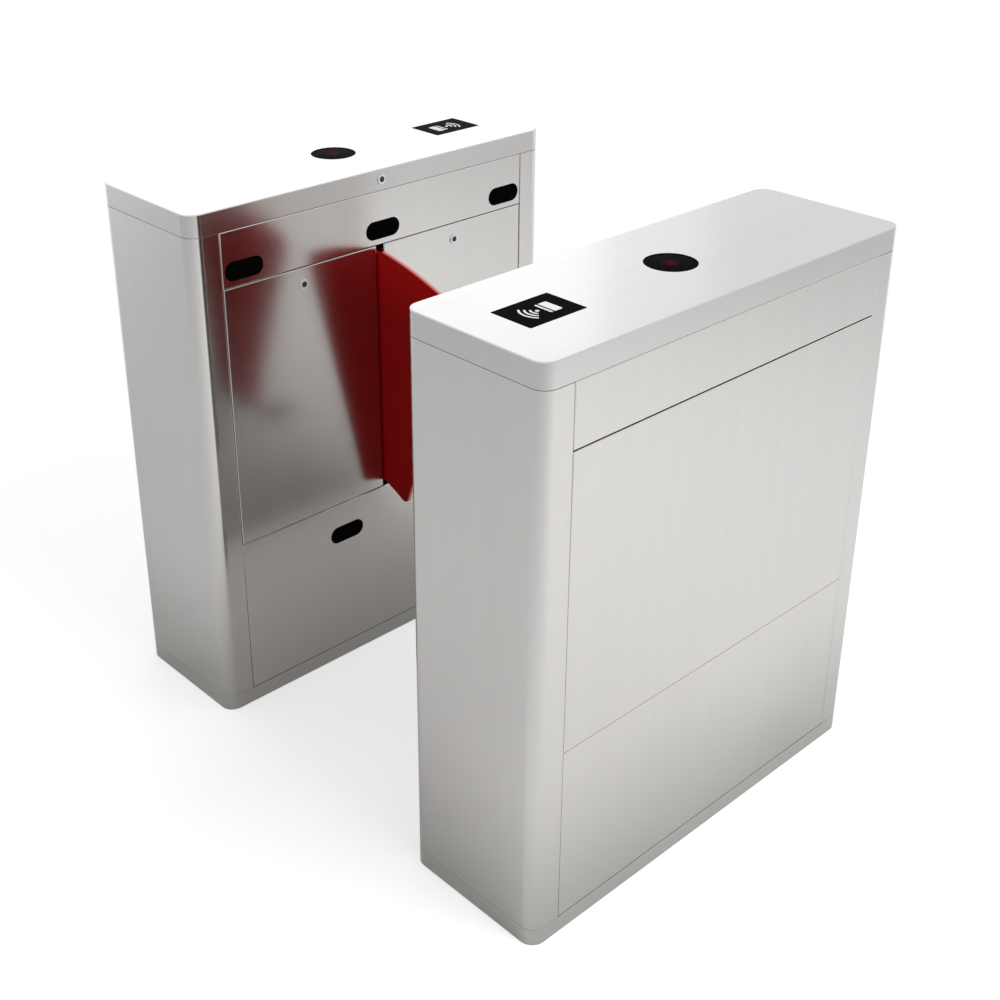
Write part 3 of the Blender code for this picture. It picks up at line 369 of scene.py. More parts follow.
@dataclass(frozen=True)
class Finish:
    """One finish: its two tones, gloss, and fine surface."""

    name: str
    slot: str
    light: Colour
    dark: Colour
    roughness: Span
    pattern: Pattern = Pattern.SPECKLE
    scale: float = 900.0
    relief: float = 0.00002
    metallic: float = 0.0
    specular: float = 0.5
    grain_length: float = 90.0
    marks_scale: float = 7.0

    def pattern_sockets(self, bench: NodeBench, where: Socket) -> tuple[Socket, Socket]:
        """Places the pattern's group.

        Args:
            bench: The bench of the material.
            where: The coordinates.

        Returns:
            The height socket and the socket of the broader variation.
        """
        lengthwise = self.scale / self.grain_length
        stretches = {
            Pattern.UPRIGHT_GRAIN: (self.scale, self.scale, lengthwise),
            Pattern.LENGTHWISE_GRAIN: (self.scale, lengthwise, self.scale),
        }
        if self.pattern in stretches:
            given = bench.group("belt_grain", {"Vector": where, "Stretch": stretches[self.pattern]})
            return given["Height"], given["Band"]
        height = bench.group(self.pattern.value, {"Vector": where, "Scale": self.scale})["Height"]
        return height, height

    def colour(self, bench: NodeBench, variation: Socket) -> Socket:
        """The base colour, which follows the broader variation."""
        return bench.tones(variation, self.dark, self.light)

    def material(self) -> bpy.types.Material:
        """Builds the material.

        Returns:
            A material with a Principled shader fed by the finish's groups.
        """
        material = bpy.data.materials.new(self.name)
        material.use_nodes = True
        material.diffuse_color = (*self.light, 1.0)
        bench = NodeBench(material.node_tree)
        where = bench.coordinates()
        height, variation = self.pattern_sockets(bench, where)
        marks = bench.group("handling_marks", {"Vector": where, "Scale": self.marks_scale})["Mask"]
        mean = bench.maths("MULTIPLY", bench.maths("ADD", variation, marks), 0.5)
        bump = bench.add("ShaderNodeBump", {"Height": height, "Distance": self.relief, "Strength": 1.0})
        inputs = {
            "Base Color": self.colour(bench, variation),
            "Roughness": bench.spread(mean, *self.roughness),
            "Normal": bump.outputs["Normal"],
            "Metallic": self.metallic,
            "Specular IOR Level": self.specular,
        }
        bench.feed(material.node_tree.nodes["Principled BSDF"], inputs)
        return material


@dataclass(frozen=True)
class SteelFinish(Finish):
    """Belt-ground stainless steel, with painted shade that darkens it towards the plinth."""

    # Painted shade: the darker tone near the floor, and the height it reaches.
    shaded_tone: Colour = (0.43, 0.42, 0.405)
    shade_reach: float = 0.40

    def colour(self, bench: NodeBench, variation: Socket) -> Socket:
        """The steel's tone, which follows the grain's bands, with painted shade that darkens it towards the
        floor.
        """
        low_shade = bench.group("painted_floor_shade", {"Vector": bench.coordinates(), "Reach": self.shade_reach})
        return bench.mix(low_shade["Darkening"], super().colour(bench, variation), self.shaded_tone)


@dataclass(frozen=True)
class FlapFinish(Finish):
    """Red urethane, with painted light that brightens it towards its top, and a painted highlight across its
    rim that pales towards one face.
    """

    # Painted light: the lighter red towards the top of the flap, and the heights it spans.
    lit_top_red: Colour = (0.37, 0.0035, 0.0035)
    lit_top_span: Span = (0.68, 0.86)
    # Painted highlight: the pale colour across the rim, and the masks that place it.
    rim: Colour = (0.95, 0.60, 0.57)
    highlight_turn: Span = (0.75, 0.15)
    highlight_span: Span = (0.0135, 0.003)
    highlight_start: Span = (0.008, 0.011)

    def colour(self, bench: NodeBench, variation: Socket) -> Socket:
        """Red on the two faces, lighter towards the top by painted light, and paler across the rim by a
        painted highlight, outside the cabinet only.

        Args:
            bench: The bench of the material.
            variation: The mask that the red follows.

        Returns:
            The colour socket.
        """
        place = bench.split(bench.coordinates())
        normal = bench.split(bench.add("ShaderNodeNewGeometry").outputs["Normal"])
        # Painted light: the red turns lighter towards the top.
        height = bench.ease(place["Z"], *self.lit_top_span, curve="SMOOTHSTEP")
        faces = bench.mix(height, super().colour(bench, variation), self.lit_top_red)
        # Painted highlight: pale where the surface turns away from the faces, fading towards one face,
        # outside the cabinet only.
        rim = bench.ease(bench.maths("ABSOLUTE", normal["Y"]), *self.highlight_turn)
        seam = bench.ease(bench.maths("ABSOLUTE", place["Y"]), *self.highlight_span)
        lane_face = PLAN.lane / 2
        start, end = (lane_face - step for step in self.highlight_start)
        outside = bench.ease(bench.maths("ABSOLUTE", place["X"]), start, end)
        pale = bench.maths("MULTIPLY", bench.maths("MULTIPLY", rim, seam), outside)
        return bench.mix(pale, faces, self.rim)


@dataclass(frozen=True)
class LampLens(Finish):
    """A black lens over a red lamp that shines faintly through its middle."""

    glow: Colour = (0.085, 0.0, 0.004)
    glow_radius: float = 0.015

    def colour(self, bench: NodeBench, variation: Socket) -> Socket:
        """Black, with a dark red spot round each lamp's axis.

        Args:
            bench: The bench of the material.
            variation: Not used, because the lens has one tone.

        Returns:
            The colour socket.
        """
        folded = bench.vectors("ABSOLUTE", bench.coordinates())[0]
        centre = (-PLAN.x(PLAN.width / 2), 0.0, PLAN.height)
        away = bench.vectors("DISTANCE", folded, centre)["Value"]
        return bench.ramp(bench.ease(away, 0.0, self.glow_radius), (0.0, self.glow), (1.0, self.light))


STEEL = SteelFinish(
    "satin_steel_upright", "brushed_steel", (0.675, 0.660, 0.645), (0.655, 0.640, 0.625), (0.150, 0.182),
    Pattern.UPRIGHT_GRAIN, scale=1100.0, relief=0.000004, metallic=1.0,
)
STEEL_LENGTHWISE = SteelFinish(
    "satin_steel_lengthwise", "brushed_steel", (0.645, 0.635, 0.625), (0.62, 0.61, 0.60), (0.18, 0.22),
    Pattern.LENGTHWISE_GRAIN, scale=1100.0, relief=0.000004, metallic=1.0,
)
RED_FLAP = FlapFinish(
    "red_urethane", "red_polyurethane", (0.245, 0.0018, 0.0018), (0.21, 0.0014, 0.0014), (0.42, 0.55),
    scale=700.0, specular=0.04,
)
BLACK_WINDOW = Finish(
    "black_acrylic", "black_window", (0.0022, 0.0022, 0.0026), (0.0014, 0.0014, 0.0016), (0.30, 0.38),
    scale=400.0, relief=0.000002, specular=0.002,
)
LAMP_LENS = LampLens(
    "lamp_lens", "black_window", (0.0025, 0.002, 0.0022), (0.0015, 0.0012, 0.0013), (0.30, 0.38),
    scale=400.0, relief=0.000002, specular=0.002,
)
SENSOR_CASE = Finish(
    "sensor_case", "black_window", (0.02, 0.02, 0.022), (0.013, 0.013, 0.014), (0.42, 0.55),
    scale=1500.0, relief=0.00003, specular=0.4,
)
PRINT = Finish(
    "white_print", "black_window", (0.82, 0.82, 0.81), (0.74, 0.74, 0.73), (0.4, 0.5),
    scale=1500.0, relief=0.000005,
)
ZINC = Finish(
    "zinc_plate", "zinc_steel", (0.60, 0.61, 0.63), (0.46, 0.47, 0.49), (0.30, 0.45),
    Pattern.SPANGLE, scale=160.0, relief=0.00001, metallic=1.0,
)
GEAR_STEEL = Finish(
    "cut_gear_steel", "hard_steel", (0.50, 0.51, 0.52), (0.38, 0.385, 0.39), (0.22, 0.36),
    scale=1300.0, relief=0.000015, metallic=1.0,
)
CHROME = Finish(
    "lock_plating", "lock_chrome", (0.74, 0.74, 0.75), (0.68, 0.68, 0.69), (0.07, 0.16),
    relief=0.000003, metallic=1.0,
)
BLACK_ENAMEL = Finish(
    "black_enamel", "motor_black", (0.035, 0.035, 0.038), (0.022, 0.022, 0.025), (0.34, 0.48),
    scale=1100.0, relief=0.00004,
)
RUBBER = Finish(
    "stop_rubber", "stop_rubber", (0.026, 0.025, 0.025), (0.016, 0.016, 0.016), (0.7, 0.85),
    scale=1600.0, relief=0.00005, specular=0.3,
)
CASE_GREY = Finish(
    "case_grey", "control_grey", (0.47, 0.49, 0.52), (0.42, 0.44, 0.47), (0.42, 0.55),
    scale=1500.0, relief=0.00004,
)


# Modelling steps


class Axis(Enum):
    """The axes that round pieces lie along, with the turn that brings a cylinder there."""

    X = (0.0, math.pi / 2, 0.0)
    Y = (math.pi / 2, 0.0, 0.0)
    Z = (0.0, 0.0, 0.0)

    @property
    def direction(self) -> Vector:
        """The unit vector along the axis."""
        return Vector((float(self is Axis.X), float(self is Axis.Y), float(self is Axis.Z)))


def around(middle: float, half: float) -> Span:
    """The limits half a size to both sides of a middle."""
    return middle - half, middle + half


def offset(base: float, span: Span) -> Span:
    """A pair of limits that is given from a base."""
    return base + span[0], base + span[1]


def activate(obj: Piece) -> None:
    """Makes one object the only selected one and the active one.

    Args:
        obj: The object.
    """
    for other in bpy.context.selected_objects:
        other.select_set(False)
    bpy.context.view_layer.objects.active = obj
    obj.select_set(True)


def everything() -> None:
    """Selects all of the mesh in edit mode."""
    bpy.ops.mesh.select_all(action="SELECT")


def settle() -> Piece:
    """Applies the new primitive's place and size to its mesh and returns it."""
    bpy.ops.object.transform_apply(location=True, rotation=True, scale=True)
    return bpy.context.object


def block(u: Span, y: Span, z: Span) -> Piece:
    """A block of the left cabinet between pairs of limits.

    Args:
        u: Depth limits behind the lane face.
        y: Limits along the lane.
        z: Height limits.

    Returns:
        The block.
    """
    low, high = PLAN.at(u[1], y[0], z[0]), PLAN.at(u[0], y[1], z[1])
    bpy.ops.object.select_all(action="DESELECT")
    bpy.ops.mesh.primitive_cube_add(size=1, location=(low + high) / 2)
    bpy.context.object.scale = high - low
    return settle()


def rod(start: Vector, axis: Axis, length: float, radius: float, sides: int = 48) -> Piece:
    """A cylinder, or a prism with few sides.

    Args:
        start: The middle of its first end.
        axis: The axis it lies along.
        length: Its length in the axis's direction, below zero for the other way.
        radius: Its radius, or its corners' distance from the axis.
        sides: How many sides it has.

    Returns:
        The cylinder.
    """
    bpy.ops.object.select_all(action="DESELECT")
    middle = start + axis.direction * (length / 2)
    bpy.ops.mesh.primitive_cylinder_add(
        vertices=sides, radius=radius, depth=abs(length), location=middle, rotation=axis.value
    )
    return settle()


@contextmanager
def editing(obj: Piece) -> Iterator[None]:
    """Holds an object in edit mode, at first with nothing selected.

    Args:
        obj: The object.
    """
    activate(obj)
    bpy.ops.object.mode_set(mode="EDIT")
    bpy.ops.mesh.select_all(action="DESELECT")
    try:
        yield
    finally:
        bpy.ops.object.mode_set(mode="OBJECT")


def pick(obj: Piece, faces: FaceTest | None = None, edges: EdgeTest | None = None) -> None:
    """Selects, in edit mode, only the faces or only the edges that pass a test.

    Args:
        obj: The object.
        faces: The test for faces.
        edges: The test for edges, where none is given for faces.
    """
    bpy.ops.mesh.select_mode(type="FACE" if faces else "EDGE")
    bpy.ops.mesh.select_all(action="DESELECT")
    mesh = bmesh.from_edit_mesh(obj.data)
    test = faces or edges
    for element in mesh.faces if faces else mesh.edges:
        element.select_set(test(element))
    bmesh.update_edit_mesh(obj.data)


def facing(direction: Vector) -> FaceTest:
    """A test for the faces that look in a direction."""
    return lambda face: face.normal.dot(direction) > NEARLY


def along(direction: Vector) -> EdgeTest:
    """A test for the edges that run along a direction.

    Args:
        direction: The direction, as a unit vector.

    Returns:
        The test.
    """

    def test(edge: bmesh.types.BMEdge) -> bool:
        """Whether an edge runs along the direction, either way."""
        run = (edge.verts[0].co - edge.verts[1].co).normalized()
        return abs(run.dot(direction)) > STRAIGHT

    return test


def edge_on(index: int, value: float) -> EdgeTest:
    """A test for the edges that lie wholly at one value of a coordinate."""
    return lambda edge: all(abs(vert.co[index] - value) < ON_PLANE for vert in edge.verts)


def both(*tests: EdgeTest) -> EdgeTest:
    """A test that is true where all the given tests are."""
    return lambda edge: all(test(edge) for test in tests)


def shift(amount: Vector) -> None:
    """Moves what is selected in edit mode."""
    bpy.ops.transform.translate(value=amount)


def extrude(amount: Vector) -> None:
    """Extrudes what is selected in edit mode."""
    bpy.ops.mesh.extrude_region_move(TRANSFORM_OT_translate={"value": amount})


def apply_modifier(obj: Piece, kind: str, **settings: object) -> None:
    """Adds a modifier and applies it at once.

    Args:
        obj: The object.
        kind: The modifier's type.
        settings: Its attributes.
    """
    activate(obj)
    modifier = obj.modifiers.new(kind.lower(), kind)
    for name, value in settings.items():
        setattr(modifier, name, value)
    bpy.ops.object.modifier_apply(modifier=modifier.name)


def gather(obj: Piece, *others: Piece) -> Piece:
    """Puts the meshes of other objects into the first one.

    Args:
        obj: The first object.
        others: The other objects, which are removed.

    Returns:
        The first object.
    """
    activate(obj)
    for other in others:
        other.select_set(True)
    if others:
        bpy.ops.object.join()
    return obj


def combine(obj: Piece, tools: Sequence[Piece], operation: str) -> None:
    """Joins the tools, which lie apart, and combines them with obj in one Boolean.

    Args:
        obj: The object.
        tools: The objects to combine it with, which are removed.
        operation: The Boolean's operation.
    """
    tool = gather(*tools)
    for shape in (obj, tool):
        with editing(shape):
            everything()
            bpy.ops.mesh.quads_convert_to_tris()
    apply_modifier(obj, "BOOLEAN", operation=operation, object=tool, solver="EXACT")
    bpy.data.objects.remove(tool)
    with editing(obj):
        everything()
        bpy.ops.mesh.remove_doubles(threshold=0.002 * MM)
        bpy.ops.mesh.dissolve_limited(angle_limit=math.radians(0.2))


def cut(obj: Piece, *tools: Piece) -> None:
    """Cuts tools out of obj and removes them."""
    combine(obj, tools, "DIFFERENCE")


def weld(obj: Piece, *tools: Piece) -> None:
    """Makes one solid of obj and the tools."""
    combine(obj, tools, "UNION")


def open_up(obj: Piece, test: FaceTest) -> None:
    """Removes the faces that pass a test.

    Args:
        obj: The object.
        test: Which faces.
    """
    with editing(obj):
        pick(obj, faces=test)
        bpy.ops.mesh.delete(type="FACE")


def thicken(obj: Piece) -> None:
    """Gives a shell the sheet's thickness, inwards."""
    apply_modifier(obj, "SOLIDIFY", thickness=PLAN.sheet, offset=-1.0, use_even_offset=True)


def soften(obj: Piece, radius: float) -> None:
    """Rounds every sharp edge by a small radius.

    Args:
        obj: The object.
        radius: The radius.
    """
    apply_modifier(
        obj, "BEVEL", width=radius, segments=2, limit_method="ANGLE", angle_limit=math.radians(32),
        use_clamp_overlap=True,
    )


def round_edges(obj: Piece, test: EdgeTest, radius: float, segments: int) -> None:
    """Rounds the chosen edges.

    Args:
        obj: The object.
        test: Which edges.
        radius: The radius.
        segments: How many faces across the rounding.
    """
    with editing(obj):
        pick(obj, edges=test)
        bpy.ops.mesh.bevel(offset=radius, segments=segments, affect="EDGES", clamp_overlap=True)


def sensor_bar(middle: Place, u: Span, growth: float) -> Piece:
    """A bar with half-round ends that lies along the lane, in a sensor window's outline.

    Args:
        middle: (y, z) of its middle.
        u: Its depth limits.
        growth: How much larger than the window it is all round.

    Returns:
        The bar.
    """
    half_length, half_height = (size / 2 + growth for size in PLAN.sensor)
    bar = block(u, around(middle[0], half_length), around(middle[1], half_height))
    round_edges(bar, along(TO_LANE), half_height - 0.2 * MM, 12)
    return bar


def reader_plate(growth: float, z: Span, segments: int = 5) -> Piece:
    """A plate in the reader window's outline.

    Args:
        growth: How much larger than the window it is all round.
        z: Its height limits.
        segments: How many faces across each round corner.

    Returns:
        The plate.
    """
    half_width, half_length = (size / 2 + growth for size in PLAN.reader)
    plate = block(around(PLAN.width / 2, half_width), around(PLAN.reader_middle, half_length), z)
    round_edges(plate, along(UP), PLAN.reader_corner + growth, segments)
    return plate


# Fitting the finished pieces


@dataclass
class Fitter:
    """Gives each finished left piece its material and body, and fits its copy on the right."""

    frame: dict
    materials: dict[str, bpy.types.Material] = field(default_factory=dict)
    count: int = 0

    def material(self, finish: Finish) -> bpy.types.Material:
        """The material of a finish, built when first asked for.

        Args:
            finish: The finish.

        Returns:
            Its material.
        """
        if finish.name not in self.materials:
            self.materials[finish.name] = finish.material()
        return self.materials[finish.name]

    def copy_of(self, node: str) -> Piece:
        """A merged copy of a left CAD node, to be worked on.

        Args:
            node: The node's name without its side.

        Returns:
            The copy, with whole flat faces in place of triangles.
        """
        source = self.frame["nodes"]["left_" + node]
        obj = bpy.data.objects.new(node + "_copy", source.data.copy())
        bpy.context.scene.collection.objects.link(obj)
        obj.data.materials.clear()
        with editing(obj):
            everything()
            bpy.ops.mesh.customdata_custom_splitnormals_clear()
            bpy.ops.mesh.remove_doubles(threshold=0.01 * MM)
            bpy.ops.mesh.dissolve_limited(angle_limit=math.radians(0.5))
            bpy.ops.mesh.normals_make_consistent(inside=False)
        return obj

    def fit(
        self,
        piece: Piece,
        name: str,
        finish: Finish,
        body: str = "cabinets",
        node: str = "",
        edge: float = 0.0,
    ) -> None:
        """Finishes a left piece and its right copy.

        Args:
            piece: The piece, in place on the left cabinet.
            name: Its name without its side.
            finish: What it is made of.
            body: The body it rides on, without its side.
            node: The CAD node that it stands for, if any, without its side.
            edge: The radius of its sharp edges.
        """
        if edge:
            soften(piece, edge)
        piece.data.materials.clear()
        piece.data.materials.append(self.material(finish))
        activate(piece)
        bpy.ops.object.shade_smooth_by_angle(angle=math.radians(38))
        apply_modifier(piece, "WEIGHTED_NORMAL", keep_sharp=True)
        right = piece.copy()
        right.data = piece.data.copy()
        right.data.transform(HALF_TURN)
        bpy.context.scene.collection.objects.link(right)
        for side, obj in (("left", piece), ("right", right)):
            obj.name = f"{side}_{name}"
            obj.data.name = obj.name
            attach(obj, body if body == "cabinets" else f"{side}_{body}")
            if node:
                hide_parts(f"{side}_{node}")
            self.count += 1
        LOG.info("fitted left and right %s: %s, on %s", name, finish.name, body)


# Sheet metal


@dataclass
class SheetMetal:
    """The cabinet's shells, panels, plinth, doors and lid."""

    fitter: Fitter
    bend: float = 0.0018
    shell_bend: float = 0.0019
    fold_segments: int = 4
    corner_segments: int = 12
    overcut: float = 0.002
    plinth_edge: float = 0.0006
    plinth_cut: Span = (-0.002, 0.005)
    anchor_inset: float = 0.045
    anchor_radius: float = 0.007
    entry: Place = (0.110, 0.150)
    entry_corner: float = 0.012
    catch_start: float = 0.0117
    keeper_depth: Span = (0.010, 0.026)
    keeper_post: Span = (0.020, 0.0225)
    keeper_bar: Span = (0.010, 0.02125)
    keeper_height: Span = (0.969, 0.9715)
    hinge_inset: float = 0.070
    hinge_slot: Place = (0.017, 0.0035)
    hinge_slot_depth: Span = (0.00175, 0.009)
    hinge_tab: Place = (0.015, 0.008)
    hinge_tab_depth: Span = (0.002, 0.0035)
    lock_bore_start: float = 0.004
    lock_bore_length: float = 0.006
    lock_bore_radius: float = 0.0083
    lid_cut: Span = (0.006, 0.003)

    def vertical_corners(self, obj: Piece, ends: Sequence[int]) -> None:
        """Rounds a block's upright corners at the given ends of the cabinet."""
        for end in ends:
            round_edges(obj, both(along(UP), edge_on(1, end * PLAN.half)), PLAN.corner, self.corner_segments)

    def tray(self) -> None:
        """The plinth: a shallow tray with anchor holes and cable entries."""
        top = PLAN.plinth + PLAN.seam_gap - PLAN.plinth_seam
        tray = block((0.0, PLAN.width), around(0.0, PLAN.half), (0.0, top))
        self.vertical_corners(tray, (-1, 1))
        round_edges(tray, edge_on(2, 0.0), self.plinth_edge, 2)
        open_up(tray, facing(UP))
        thicken(tray)
        bottom, height = self.plinth_cut[0], self.plinth_cut[1] - self.plinth_cut[0]
        for end in (-1, 1):
            middle = end * (PLAN.half + PLAN.seam / 2) / 2
            half_width, half_length = (size / 2 for size in self.entry)
            entry = block(around(PLAN.width / 2, half_width), around(middle, half_length), self.plinth_cut)
            round_edges(entry, along(UP), self.entry_corner, 6)
            holes = [entry]
            for depth in (self.anchor_inset, PLAN.width - self.anchor_inset):
                start = PLAN.at(depth, end * (PLAN.half - self.anchor_inset), bottom)
                holes.append(rod(start, Axis.Z, height, self.anchor_radius, 32))
            cut(tray, *holes)
        self.fitter.fit(tray, "plinth_tray", STEEL_LENGTHWISE, node="base_tray", edge=0.0003)

    def end_shell(self, place: str, end: int) -> None:
        """An end of the cabinet with its two round corners, its turned-in edges and their lips.

        Args:
            place: near or far.
            end: -1 for the near end and 1 for the far end.
        """
        low, high = sorted((end * PLAN.seam, end * PLAN.half))
        shell = block((0.0, PLAN.width), (low, high), (PLAN.plinth + PLAN.seam_gap, PLAN.lid_seam))
        self.vertical_corners(shell, (end,))
        open_up(shell, lambda face: abs(face.normal.z) > NEARLY or face.normal.y * end < -NEARLY)
        for u, inward in ((0.0, TO_BACK), (PLAN.width, TO_LANE)):
            fold = both(along(UP), edge_on(0, PLAN.x(u)), edge_on(1, end * PLAN.seam))
            with editing(shell):
                pick(shell, edges=fold)
                extrude(inward * (PLAN.pan_depth + PLAN.seat_gap))
                extrude(TO_NEAR * end * PLAN.lip)
            round_edges(shell, fold, self.shell_bend, self.fold_segments)
        thicken(shell)
        self.fitter.fit(shell, f"{place}_end_sheet", STEEL, node=f"{place}_end_shell", edge=0.0003)

    def pan(self, lane_side: bool, y: Span, z: Span) -> Piece:
        """A panel folded back on its four sides, with a bend radius round its face.

        Args:
            lane_side: Whether it is on the lane side.
            y: Its limits along the lane.
            z: Its height limits.

        Returns:
            The panel.
        """
        front = 0.0 if lane_side else PLAN.width
        outward = TO_LANE if lane_side else TO_BACK
        depth = (0.0, PLAN.pan_depth) if lane_side else (PLAN.width - PLAN.pan_depth, PLAN.width)
        panel = block(depth, y, z)
        with editing(panel):
            pick(panel, faces=facing(-outward))
            bpy.ops.mesh.inset(thickness=PLAN.sheet, use_even_offset=True)
            extrude(outward * (PLAN.pan_depth - PLAN.sheet))
        round_edges(panel, edge_on(0, PLAN.x(front)), self.bend, self.fold_segments)
        return panel

    def span(self) -> Span:
        """The limits of a panel that fills the space between the end shells."""
        return around(0.0, PLAN.seam - PLAN.upright_seam)

    def outer_panels(self) -> None:
        """The three fixed panels of the side away from the lane."""
        rows = (
            ("outer_head", (PLAN.head_bottom, PLAN.lid_seam)),
            ("outer", (PLAN.lower_top, PLAN.head_bottom - PLAN.door_gap)),
            ("outer_lower", (PLAN.plinth + PLAN.seam_gap, PLAN.lower_top - PLAN.seam_gap)),
        )
        for name, z in rows:
            self.fitter.fit(self.pan(False, self.span(), z), f"{name}_sheet", STEEL, node=f"{name}_panel")

    def cut_windows(self, panel: Piece, row: str) -> None:
        """Cuts the sensor windows of one row through a panel."""
        through = (-self.overcut, PLAN.sheet + self.overcut)
        cut(panel, *[sensor_bar(SENSORS[node], through, PLAN.seat_gap) for node in SENSORS if row in node])

    def inner_head(self) -> None:
        """The strip under the lid on the lane side, its catch lips and the lid's keeper."""
        panel = self.pan(True, self.span(), (PLAN.head_bottom, PLAN.lid_seam))
        self.cut_windows(panel, "upper")
        lip_end = PLAN.seam - PLAN.lip - PLAN.sheet - PLAN.seam_gap
        notch = around(PLAN.flap_plane, PLAN.flap_slot_half + PLAN.pan_depth)
        lip = (PLAN.pan_depth + PLAN.seat_gap, PLAN.pan_depth + PLAN.seat_gap + PLAN.sheet)
        drop = PLAN.head_bottom - PLAN.door_gap - PLAN.lip
        extras = []
        for y in ((-lip_end, notch[0]), (notch[1], lip_end)):
            floor = (PLAN.head_bottom, PLAN.head_bottom + PLAN.sheet)
            extras.append(block((self.catch_start, lip[1]), y, floor))
            extras.append(block(lip, y, (drop, PLAN.head_bottom + PLAN.sheet / 2)))
        post = (PLAN.lid_seam - PLAN.sheet, self.keeper_height[1])
        extras.append(block(self.keeper_depth, self.keeper_post, post))
        extras.append(block(self.keeper_depth, self.keeper_bar, self.keeper_height))
        weld(panel, *extras)
        self.fitter.fit(panel, "inner_head_sheet", STEEL, node="inner_head_panel")

    def hinges(self, span: Span, depth: Span, half: float, z: Span) -> list[Piece]:
        """The two blocks, each twice half long, that make a door's hinge tabs or their slots."""
        middles = (span[0] + self.hinge_inset, span[1] - self.hinge_inset)
        return [block(depth, around(middle, half), z) for middle in middles]

    def inner_lower(self) -> None:
        """The panel below the doors, with its windows and the slots for the doors' hinge tabs."""
        panel = self.pan(True, self.span(), (PLAN.plinth + PLAN.seam_gap, PLAN.lower_top))
        self.cut_windows(panel, "lower")
        half, drop = self.hinge_slot
        z = (PLAN.lower_top - drop, PLAN.lower_top + self.overcut)
        slots = []
        for span in DOOR_SPANS.values():
            slots.extend(self.hinges(span, self.hinge_slot_depth, half, z))
        cut(panel, *slots)
        self.fitter.fit(panel, "inner_lower_sheet", STEEL, node="inner_lower_panel")

    def lock_bore(self, y: float, z: float) -> Piece:
        """The tool that bores a lock's hole through a sheet on the lane side."""
        start = PLAN.at(self.lock_bore_start, y, z)
        return rod(start, Axis.X, self.lock_bore_length, self.lock_bore_radius)

    def doors(self) -> None:
        """The two tilting doors on the lane side, with their hinge tabs and lock holes."""
        bottom = PLAN.lower_top + PLAN.door_seam
        top = PLAN.head_bottom - PLAN.door_seam
        edge = PLAN.seam - PLAN.door_seam
        half, drop = self.hinge_tab
        for place, span in DOOR_SPANS.items():
            limits = (-edge, span[1]) if place == "front" else (span[0], edge)
            door = self.pan(True, limits, (bottom, top))
            z = (PLAN.lower_top - drop, bottom + PLAN.sheet / 2)
            weld(door, *self.hinges(span, self.hinge_tab_depth, half, z))
            cut(door, self.lock_bore(sum(span) / 2, PLAN.door_lock_height))
            self.fitter.fit(door, f"{place}_door_sheet", STEEL, f"{place}_door", f"{place}_inner_door")

    def lid(self) -> None:
        """The cap: round corners, a soft top edge, and holes for the reader, the lamp and the lock."""
        bottom = PLAN.lid_seam + PLAN.seam_gap
        lid = block((0.0, PLAN.width), around(0.0, PLAN.half), (bottom, PLAN.height))
        self.vertical_corners(lid, (-1, 1))
        round_edges(lid, edge_on(2, PLAN.height), self.bend, self.fold_segments)
        open_up(lid, facing(DOWN))
        thicken(lid)
        below, above = self.lid_cut
        start = PLAN.at(PLAN.width / 2, 0.0, PLAN.height - below)
        opening = reader_plate(PLAN.seat_gap, (PLAN.height - below, PLAN.height + above), 3)
        lamp = rod(start, Axis.Z, below + above, PLAN.lamp_radius + PLAN.seat_gap, 96)
        cut(lid, opening, lamp, self.lock_bore(0.0, PLAN.lid_lock_height))
        self.fitter.fit(lid, "lid_sheet", STEEL_LENGTHWISE, "lid", "lid", edge=0.0002)

    def build(self) -> None:
        """Builds every piece of sheet metal."""
        self.tray()
        self.end_shell("near", -1)
        self.end_shell("far", 1)
        self.outer_panels()
        self.inner_head()
        self.inner_lower()
        self.doors()
        self.lid()


# Locks


